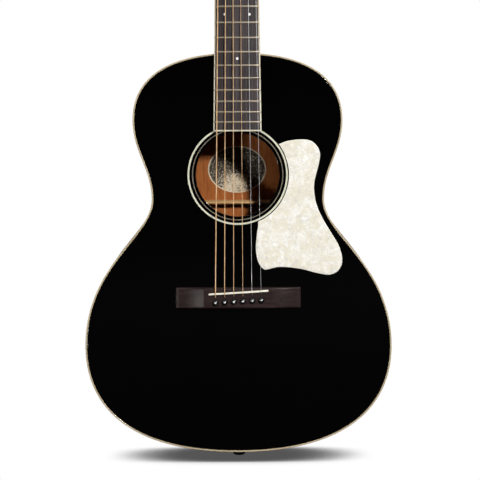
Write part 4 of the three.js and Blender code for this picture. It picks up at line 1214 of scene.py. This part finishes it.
def neck_width(z, deep):
    """Half width of the neck at depth deep behind the soundboard's plane."""
    drop = shaft_depth(z)
    shaft = board_half(z) * math.sqrt(max(0.0, 1 - (deep / drop) ** 2)) if deep < drop else 0.0
    reach = table_at(HEEL_BY_DEPTH, 0, 2, deep) + 3.0
    rise = min(1.0, max(0.0, z - BODY_TOP + 3.0) / reach) ** (1 / 0.9)
    heel = table_at(HEEL_BY_DEPTH, 0, 1, deep) * math.sqrt(max(0.0, 1 - rise * rise))
    soft = min(5.0, 0.35 * deep) + 1e-6
    spare = max(soft - abs(shaft - heel), 0.0) / soft
    fade = min(1.0, min(shaft, heel) / 6.0)
    return max(shaft, heel) + soft * spare * spare / 4 * fade


def neck_ring(z, count=44):
    """Half of the neck's section, as (x, depth) from its edge to its deepest point, evenly."""
    shaft, heel = shaft_depth(z), heel_depth(z)
    spare = max(HEEL_BLEND - abs(shaft - heel), 0.0)
    plain = max(shaft, heel)
    whole = plain + spare * spare / (4 * HEEL_BLEND)
    fine = []
    for a in evenly(0, math.pi / 2, 240):
        fine.append((neck_width(z, plain * math.sin(a)), whole * math.sin(a)))
    if fine[-1][0] > 0.01:
        fine += [(x, whole) for x in evenly(fine[-1][0], 0, 12)[1:]]
    travel = travelled(fine)
    out = [point_at(fine, travel, run) for run in evenly(0, travel[-1], count)]
    return out[:-1] + [(0.0, out[-1][1])]


def eased_ring(z):
    """neck_ring averaged over nearby heights, so that the heel flows into the shaft."""
    reach = z - BODY_TOP
    spread = HEEL_EASE * smooth((reach - 20) / 18) * smooth((78 - reach) / 14)
    near = [neck_ring(at) for at in evenly(z - spread, z + spread, 8)]
    return [tuple(sum(place) / len(near) for place in zip(*same)) for same in zip(*near)]


def whole_ring(half):
    """A closed (x, depth) section from the half, with points along its flat front."""
    front = evenly(-half[0][0], half[0][0], 12)[1:-1]
    return list(half) + [(-x, d) for x, d in half[-2::-1]] + [(x, 0.0) for x in front]


def head_section(t, count=44):
    """Half section of the headstock at height t up it, morphing from the shaft's."""
    width = table_at(HEAD_EDGE, 1, 0, t)
    square = smooth(t / 26.0)
    drop = mix(SHAFT_NUT, HEAD_THICK, square)
    power = mix(1.0, 0.16, square)
    out = [(width * math.cos(a) ** power, drop * math.sin(a) ** power)
           for a in evenly(0, math.pi / 2, count)[:-1]]
    return out + [(0.0, drop)]


def neck_heights():
    """Heights of the shaft's sections, closest where the heel ends."""
    above = [-1.6, 6, 12, 17, 20]
    above += [21.5 + 0.35 * k for k in range(28)] + [31.5 + k for k in range(45)]
    heights = [BODY_TOP + reach for reach in above]
    return heights + evenly(BODY_TOP + 78, NUT_Z, 40) + [HEAD_Z - 3, HEAD_Z]


def build_neck():
    rings = []
    for z in neck_heights():
        rings.append([(x, FRONT + d, z) for x, d in whole_ring(eased_ring(z))])
    for lean in evenly(0, HEAD_TILT, 5)[1:]:
        place = Matrix.Translation((0, FRONT, HEAD_Z)) @ Matrix.Rotation(-lean, 4, "X")
        rings.append([place @ Vector((x, d, 0)) for x, d in whole_ring(head_section(0.0))])
    steps = [*range(1, 35), *evenly(34, 152, 12)[1:], 155.5, 159.0, 162.5, 163.7, 165.0, 166.0]
    for t in steps:
        rings.append([HEAD @ Vector((x, d, t)) for x, d in whole_ring(head_section(t))])
    neck = loft("neck_wood", rings)
    profile = [(0, -4), (POST_HOLE, -4), (POST_HOLE, 20), (0, 20)]
    holes = [lathe("hole", profile, aimed(x, 0, z, HEAD, -1), 28) for _, x, z in tuner_places()]
    finish_piece(carve(neck, *holes, degrees=42), "mahogany_gloss", "neck")


def build_heel_cap():
    _, half, reach = HEEL[-1]
    arc = []
    for a in evenly(0, math.pi, 40):
        rise = (reach + 3) * max(math.sin(a), 0.0) ** 0.9 - 2.2
        arc.append((half * math.cos(a), BODY_TOP - 0.8 + max(rise, 0.0)))
    cap = slab("heel_plate", [arc], FRONT + HEEL_BACK, FRONT + NECK_DEPTH - 0.2, soft_far=0.8)
    finish_piece(cap, "ivoroid", "heel_cap")


def tuner_places():
    """(number, x, z) of each post in the headstock's frame: 1 is the thinnest string's."""
    return [(6 - row if side < 0 else 1 + row, side * POST_X, POST_FIRST + POST_STEP * row)
            for side in (-1, 1) for row in POST_ROWS]


def build_veneer():
    edge = rounded([(x - 0.15, max(z - 0.15, 1.0)) for x, z in HEAD_EDGE], 5.0, False)
    loops = [edge + [(-x, z) for x, z in edge[::-1]]]
    loops += [circle(POST_HOLE, z, x, 28) for _, x, z in tuner_places()]
    veneer = slab("head_face", loops, POST_FACE, -SLIVER, soft_near=0.35, place=HEAD)
    finish_piece(veneer, "black_gloss_lacquer", "headstock_veneer")


def build_rod_cover():
    half = [(10.5, 3), (10.2, 9), (7.6, 20), (5.4, 28), (5, 34), (3.6, 37.6)]
    outline = [(-x, z) for x, z in half] + [(0, 39)] + half[::-1]
    face = POST_FACE - COVER_THICK
    cover = slab("rod_cover", [rounded(outline, 2.4)], face, POST_FACE - SLIVER, soft_near=0.7,
                 place=HEAD)
    finish_piece(cover, "black_plastic", "truss_rod_cover", edge="ivoroid")
    for name, x, z in (("a", -7, 6.4), ("b", 7, 6.4), ("c", 0, 34.5)):
        build_screw(f"cover_screw_{name}", x, face, z, 1, 1.5)


def build_screw(name, x, y, z, sign, radius):
    """A round-headed screw with a cross cut in it; sign is that of aimed."""
    seat = aimed(x, y, z, HEAD, sign)
    profile = [(0, -1.5), (radius * 0.6, -1.5), (radius * 0.6, 0), (radius, 0.0),
               (radius * 0.96, radius * 0.2), (radius * 0.7, radius * 0.42), (0, radius * 0.52)]
    wide, long = radius * 0.13, radius * 0.62
    arms = [block("arm", (-a, -b, radius * 0.12), (a, b, radius), seat)
            for a, b in ((wide, long), (long, wide))]
    screw = lathe(name, profile, seat, 28, soft=0.25)
    finish_piece(carve(screw, *arms), "nickel")


# ------------------------------------------------------------------ fretboard
def build_fretboard():
    rings = []
    for z in (BOARD_Z + BOARD_BINDING, BOARD_TOP):
        half = board_half(z) - BOARD_BINDING
        face = [(x, BOARD_FACE + crown(x), z) for x in evenly(-half, half, 24)]
        rings.append([(half, FRONT - SLIVER, z), (-half, FRONT - SLIVER, z), *face])
    finish_piece(loft("finger_board", rings, degrees=40), "ebony", "fretboard")


def build_board_binding():
    """A strip down both edges and across the end of the board."""
    def path(inset, side):
        """The edge moved inwards by inset, starting at the nut on one side."""
        top, low = ((board_half(z) - inset, z) for z in (BOARD_TOP, BOARD_Z + inset))
        corners = [(side * top[0], top[1]), (side * low[0], low[1]),
                   (-side * low[0], low[1]), (-side * top[0], top[1])]
        out = [(mix(a[0], b[0], k / 30), mix(a[1], b[1], k / 30))
               for a, b in zip(corners, corners[1:]) for k in range(30)]
        return out + corners[-1:]

    loop = path(0, -1) + path(BOARD_BINDING, 1)
    strip = slab("board_binding", [loop], lambda x, z: BOARD_FACE + crown(x), FRONT - SLIVER,
                 soft_near=0.45)
    finish_piece(strip, "ivoroid", "fretboard_binding", look="board_ivoroid")


def build_frets():
    """Bent wires with rounded crowns and sloping ends."""
    arch, spans = 8, 14
    width = arch + 1
    points, faces = [], []
    for number in range(1, FRETS + 1):
        z = fret_z(number)
        half = board_half(z) - 0.35
        base = len(points)
        for x in evenly(-half, half, spans):
            lift = min(1.0, 0.25 + (half - abs(x)) / 1.3)
            foot = BOARD_FACE + crown(x) + SLIVER
            for a in evenly(0, math.pi, arch):
                up = FRET_HEIGHT * max(math.sin(a), 0.0) ** 0.8 * lift
                points.append((x, foot - up, z + FRET_WIDTH / 2 * math.cos(a)))
        last = base + spans * width
        faces += quads(spans + 1, width, base, round_ring=False)
        faces += [tuple(range(base, base + width)), tuple(range(last, last + width))[::-1]]
        faces += [(a, a + width, a + width + arch, a + arch) for a in range(base, last, width)]
    frets = solid("frets", points, faces, degrees=50)
    finish_piece(frets, "nickel", "fretboard", look="fret_nickel")


def between_frets(number):
    return (fret_z(number) + fret_z(number - 1)) / 2


def build_markers():
    """Shell dots in the board's face and small black ones in its bass edge."""
    dots = [(number, "c", 0.0) for number in (3, 5, 7, 9, 15)]
    dots += [(12, "a", -DOT_SPREAD), (12, "b", DOT_SPREAD)]
    profile = [(DOT_R, -1.2), (DOT_R, 0.0), (DOT_R - 0.15, 0.05), (0, 0.07)]
    for number, tag, x in dots:
        place = aimed(x, BOARD_FACE + crown(x), between_frets(number))
        dot = lathe(f"dot_{number}_{tag}", profile, place, 32)
        finish_piece(dot, "white_pearloid", look="pearl_shell")
    sideways = Matrix.Rotation(-math.pi / 2, 4, "Y")
    for number in (3, 5, 7, 9, 12, 15):
        z = between_frets(number)
        for k, shift in enumerate((-3.0, 3.0) if number == 12 else (0.0,)):
            place = Matrix.Translation((-board_half(z), BOARD_FACE + 3.4, z + shift)) @ sideways
            dot = lathe(f"edge_dot_{number}_{k}", [(1.1, -1.0), (1.1, 0.03), (0, 0.05)], place, 20)
            finish_piece(dot, "black_plastic")


def build_nut():
    far = NUT_Z + NUT_THICK
    rings = []
    for x in evenly(-BOARD_HALF_NUT, BOARD_HALF_NUT, 24):
        top = FRONT - NUT_ACTION - 0.35 + crown(x)
        profile = [(NUT_Z, FRONT - SLIVER), (NUT_Z, top), (far, top + 1.7), (far, FRONT - SLIVER)]
        rings.append([(x, y, z) for z, y in rounded(profile, 0.7, False, 4)])
    finish_piece(loft("nut_bone", rings, degrees=40), "bone", "nut")


# ------------------------------------------------------------------ strings
def string_y(action, x, i):
    """y of string i's middle at x, where it runs action in front of the soundboard."""
    return FRONT - action - STRING_R[i] + crown(x)


def build_string(i):
    """String i from its ball under the bridge plate to its post, and its turns on the post."""
    r = STRING_R[i]
    number = len(STRINGS) - i
    post_x, post_z = next((x, z) for n, x, z in tuner_places() if n == number)
    side = -1 if post_x < 0 else 1
    px, pz = pin_place(i)
    exit_z = pz + PIN_EXIT
    under = FRONT + TOP_THICK + GAP + PLATE_UNDER_BRIDGE
    sx, nx = across(STRING_SADDLE_X, i), across(STRING_NUT_X, i)
    wrap = POST_NECK + r
    nut_y = string_y(NUT_ACTION, nx, i)
    start = Vector((px, under + BALL_DROP, pz + PIN_SHANK + GAP + BALL_R))
    corners = [
        start,
        Vector((px, under - 0.5, exit_z)),
        Vector((px, BRIDGE_FACE + STRING_EXIT - r, exit_z)),
        Vector((sx, string_y(SADDLE_ACTION, sx, i) - 0.05, saddle_z(sx))),
        Vector((nx, nut_y, NUT_Z + 0.4)),
        Vector((nx, nut_y + 0.5, NUT_Z + NUT_THICK)),
        HEAD @ Vector((post_x - side * wrap, POST_FACE - STRING_WRAP[0], post_z)),
    ]
    sides, slot = (12, "bronze") if i < WOUND else (10, "steel")
    node = f"string_{number}"
    path = [Vector(p) for p in rounded(corners, 2.0, False)]
    finish_piece(tube(f"{node}_wire", path, r, sides), slot, node)
    coil = tube(f"{node}_winding", winding(i, side, post_x, post_z, wrap), r, 8)
    finish_piece(coil, slot, body=f"tuner_post_{number}")
    ring = [(1.0, -1.4), (BALL_R, -1.4), (BALL_R, 1.4), (1.0, 1.4), (1.0, -1.4)]
    place = Matrix.Translation(start) @ Matrix.Rotation(math.pi / 2, 4, "Y")
    finish_piece(lathe(f"{node}_ball", ring, place, 24, soft=0.3), "bronze")


def winding(i, side, post_x, post_z, wrap):
    """Turns of string i wound on its post's waist, from where it arrives towards the head."""
    count = STRING_TURNS[i]
    pitch = 2 * STRING_R[i] + 0.08
    first, last = (POST_FACE - height for height in STRING_WRAP)
    path = []
    for turn in evenly(0, count, int(count * 20)):
        a = 2 * math.pi * turn
        y = min(first + pitch * turn, last)
        x, z = post_x - side * wrap * math.cos(a), post_z + wrap * math.sin(a)
        path.append(HEAD @ Vector((x, y, z)))
    return path


# ------------------------------------------------------------------ tuners
def gear_loop():
    """A toothed wheel's outline with a gap between teeth pointing straight down."""
    tooth = ((0.0, -0.85), (0.16, -0.85), (0.27, -0.55), (0.34, -0.1), (0.41, 0.45), (0.59, 0.45),
             (0.66, -0.1), (0.73, -0.55), (0.84, -0.85))
    out = []
    for n in range(GEAR_TEETH):
        for turn, height in tooth:
            a = 2 * math.pi * (n + turn) / GEAR_TEETH - math.pi / 2
            out.append(((GEAR_R + height) * math.cos(a), (GEAR_R + height) * math.sin(a)))
    return out


def build_post(number, x, z):
    """A post with its toothed wheel and the slotted screw that holds the wheel."""
    body = f"tuner_post_{number}"
    r, waist, face = POST_R, POST_NECK, -POST_FACE
    top = face + POST_PROUD
    profile = [(0, -GEAR_Y + 1), (r, -GEAR_Y + 1), (r, face + 6), (waist, face + 7.8),
               (waist, face + 10.5), (r, face + 12.5), (r, top - 0.8), (r - 0.8, top), (0, top)]
    post = lathe(f"post_{number}", profile, aimed(x, 0, z, HEAD), 36, soft=0.6, steps=4)
    finish_piece(post, "nickel", body, body=body)
    wheel = slab(f"gear_{number}", [gear_loop()], GEAR_Y - GEAR_HALF, GEAR_Y + GEAR_HALF, 0.15,
                 0.15, 2, place=HEAD @ Matrix.Translation((x, 0, z)))
    finish_piece(wheel, "bronze", body, body=body, look="gear_brass")
    behind = aimed(x, GEAR_Y, z, HEAD, -1)
    profile = [(0, 1.0), (2.2, 1.0), (2.2, 2.0), (1.7, 2.5), (0, 2.6)]
    cap = lathe(f"gear_screw_{number}", profile, behind, 28, soft=0.3)
    cut = block("cut", (-2.6, -0.3, 1.9), (2.6, 0.3, 4.0), behind)
    finish_piece(carve(cap, cut), "nickel", body=body)


def build_ferrule(number, x, z):
    face = -POST_FACE
    profile = [(3.15, face - 3), (4.6, face - 3), (4.6, face), (5.6, face), (5.6, face + 0.5),
               (4.9, face + 1.3), (4.0, face + 1.6), (3.15, face + 1.4), (3.15, face - 3)]
    ring = lathe(f"ferrule_{number}", profile, aimed(x, 0, z, HEAD), 36, soft=0.3)
    finish_piece(ring, "nickel")


def worm_rings():
    """A round section carried round the worm's axis once in each pitch, as the CAD has it."""
    rings = []
    for x in evenly(-WORM_LENGTH / 2, WORM_LENGTH / 2, 90):
        phase = 2 * math.pi * x / GEAR_PITCH
        r = WORM_R * min(1.0, 0.55 + (WORM_LENGTH / 2 - abs(x)) / 0.8)
        cy, cz = WORM_SWING * math.sin(phase), WORM_SWING * math.cos(phase)
        rings.append([Vector((x, cy + r * math.sin(a), cz + r * math.cos(a))) for a in turns(20)])
    return rings


def button_rings(side):
    """A flattened oval thumb button along X, from the shaft outwards."""
    rings = []
    for t in evenly(0, math.pi, 26):
        x = BUTTON_LENGTH / 2 * (1 - math.cos(t))
        girth = max(math.sin(t), 0.02) ** 0.75
        waist = 1 - 0.16 * math.exp(-((x - 1.5) / 2.2) ** 2)
        y, z = BUTTON_THICK / 2 * girth ** 0.6, BUTTON_HALF * girth * waist
        rings.append([Vector((side * x, y * math.copysign(abs(math.cos(a)) ** 0.75, math.cos(a)),
                              z * math.copysign(abs(math.sin(a)) ** 0.85, math.sin(a))))
                      for a in turns(32)])
    return rings


def build_knob(number, x, z):
    """A worm, its shaft and a thumb button."""
    body = f"tuner_knob_{number}"
    side = 1 if x > 0 else -1
    place = HEAD @ Matrix.Translation((x, GEAR_Y, z - WORM_DROP))
    worm = loft(f"worm_{number}", worm_rings(), degrees=50, place=place)
    finish_piece(worm, "nickel", body, body=body)
    far = BUTTON_X - POST_X
    half = WORM_LENGTH / 2
    profile = [(0, -half - 2.8), (1.2, -half - 2.8), (1.2, half + 3.2), (1.9, half + 3.6),
               (1.9, half + 4.6), (1.3, half + 5.2), (1.3, far - 2.6), (2.4, far - 2.2),
               (2.9, far - 0.8), (2.9, far + 0.6), (0, far + 0.8)]
    turn = Matrix.Rotation(side * math.pi / 2, 4, "Y")
    shaft = lathe(f"shaft_{number}", profile, place @ turn, 24, soft=0.3)
    finish_piece(shaft, "nickel", body, body=body)
    outward = place @ Matrix.Translation((side * far, 0, 0))
    button = loft(f"button_{number}", button_rings(side), degrees=60, place=outward)
    finish_piece(button, "bone", body, body=body, look="button_ivory")


def build_ear(name, node, x, middle):
    """An upright tab of a tuner plate that carries one end of a worm's shaft."""
    half = [(2.9, PLATE_Y + 0.6), (2.5, GEAR_Y + 1.2), (1.2, GEAR_Y + 2.6)]
    outline = [(middle + w, y) for w, y in half] + [(middle - w, y) for w, y in half[::-1]]
    loops = [rounded(outline, 0.8), circle(1.35, GEAR_Y, middle, 24)]
    swap = Matrix(((0, 1, 0, 0), (0, 0, 1, 0), (1, 0, 0, 0), (0, 0, 0, 1)))
    ear = slab(name, loops, x - EAR / 2, x + EAR / 2, 0.25, 0.25, 3, place=HEAD @ swap)
    finish_piece(ear, "nickel", node)


def build_plate(name, side):
    """Three-in-line plate with bearing ears, held down by four screws."""
    node = f"tuner_plate_{name}"
    (z0, z1), (x0, x1) = PLATE_Z, sorted(side * x for x in PLATE_X)
    back = PLATE_Y + PLATE_THICK
    rows = [POST_FIRST + POST_STEP * row for row in POST_ROWS]
    loops = [rounded([(x0, z0), (x1, z0), (x1, z1), (x0, z1)], 3.0)]
    loops += [circle(POST_HOLE, z, side * POST_X, 28) for z in rows]
    plate = slab(f"plate_{name}", loops, HEAD_THICK + SLIVER, back, soft_far=0.35, place=HEAD)
    finish_piece(plate, "nickel", node)
    for row, z in enumerate(rows):
        for end in (-1, 1):
            x = side * POST_X + end * (WORM_LENGTH / 2 + GAP + EAR / 2)
            which = "out" if end == side else "in"
            build_ear(f"ear_{name}_{row}_{which}", node, x, z - WORM_DROP)
    screws = ((-4.0, z0 + 3.4), (0.0, rows[0] + 13.5), (0.0, rows[1] + 13.5), (-4.0, z1 - 4.2))
    for k, (shift, z) in enumerate(screws):
        build_screw(f"plate_screw_{name}_{k}", side * (POST_X + shift), back, z, -1, 1.7)


# ------------------------------------------------------------------ studio
def build_floor():
    """A white floor whose soft contact shadow is painted, from ambient occlusion, into what the
    camera sees; to the object itself it is a dark one.
    """
    far = 60000.0
    corners = [(-far, -far, 0), (far, -far, 0), (far, far, 0), (-far, far, 0)]
    floor = piece("floor", corners, [(0, 1, 2, 3)])
    g = Graph(bpy.data.materials.new("floor"))
    near = g.node("AmbientOcclusion", {"Distance": 0.07}, samples=16).outputs["AO"]
    # painted shadow: the floor's glow darkens where ambient occlusion is low, near the guitar
    light = g.remap(near, 0.15, 0.72, 0.09, 1.0, "SMOOTHSTEP")
    seen = g.node("Emission", {"Color": g.grey(light), "Strength": 1.0}).outputs[0]
    floor.data.materials.append(g.done((0.012, 0.012, 0.012, 1.0), 0.9, Specular_IOR_Level=0.0))
    surface = g.tree.nodes["Material Output"].inputs["Surface"]
    g.put(surface, g.by_ray(seen, g.shader.outputs[0]))


def build_world():
    """White where the camera sees it, soft light from behind and above, and a dark front."""
    world = bpy.data.worlds.new("studio")
    bpy.context.scene.world = world
    g = Graph(world)
    g.tree.nodes.clear()
    at = g.node("TexCoord").outputs["Generated"]
    behind = g.remap(g.part(at, 1), -0.55, 0.25, 0.004, 1.4, "SMOOTHSTEP")
    above = g.remap(g.part(at, 2), 0.35, 0.9, 0.0, 0.8, "SMOOTHSTEP")
    around = g.node("Background", {"Strength": g.math("MAXIMUM", behind, above)}).outputs[0]
    seen = g.node("Background", {"Color": (1, 1, 1, 1), "Strength": 1.0}).outputs[0]
    g.node("OutputWorld", {"Surface": g.by_ray(seen, around)})


def area_light(name, azimuth, elevation, distance, size, power):
    """A square softbox aimed at the soundhole: azimuth 0 is in front and 90 the treble side."""
    a, e = math.radians(azimuth), math.radians(elevation)
    away = Vector((math.sin(a) * math.cos(e), -math.cos(a) * math.cos(e), math.sin(e)))
    data = bpy.data.lights.new(name, "AREA")
    data.shape = "SQUARE"
    data.size = size
    data.energy = power
    lamp = bpy.data.objects.new(name, data)
    lamp.location = Vector((0, FRONT * MM, HOLE_Z * MM)) + away * distance
    lamp.rotation_euler = (-away).to_track_quat("-Z", "Y").to_euler()
    bpy.context.scene.collection.objects.link(lamp)


def build_lights():
    """A key from the treble side and above, and a weaker box low on the bass side."""
    area_light("key box", 24.3, 20.0, 3.0, 0.26, 88)
    area_light("fill box", -35.8, -14.7, 1.2, 0.11, 3.6)


def build_camera():
    """A long lens square to the soundboard, looking slightly down."""
    data = bpy.data.cameras.new("camera")
    data.sensor_width = 36.0
    data.lens = 154.43
    camera = bpy.data.objects.new("camera", data)
    pitch, roll = math.radians(4.5), math.radians(-0.27)
    camera.matrix_world = (Matrix.Translation((0.0024, FRONT * MM - 2.5, 0.471))
                           @ Matrix.Rotation(math.pi / 2 - pitch, 4, "X")
                           @ Matrix.Rotation(roll, 4, "Z"))
    bpy.context.scene.collection.objects.link(camera)
    bpy.context.scene.camera = camera


for build in (build_soundboard, build_rosette, build_shell, build_back, build_linings,
              dress_inside, build_back_braces, build_label, build_end_pin, build_pickguard,
              build_bridge, build_saddle):
    build()
for string in STRINGS:
    build_pin(string)
for build in (build_neck, build_heel_cap, build_veneer, build_rod_cover, build_fretboard,
              build_board_binding, build_frets, build_markers, build_nut):
    build()
for string in STRINGS:
    build_string(string)
for name, side in (("bass", -1), ("treble", 1)):
    build_plate(name, side)
for place in tuner_places():
    build_post(*place)
    build_ferrule(*place)
    build_knob(*place)
for build in (build_floor, build_world, build_lights, build_camera):
    build()
bpy.context.scene.view_settings.view_transform = "Standard"
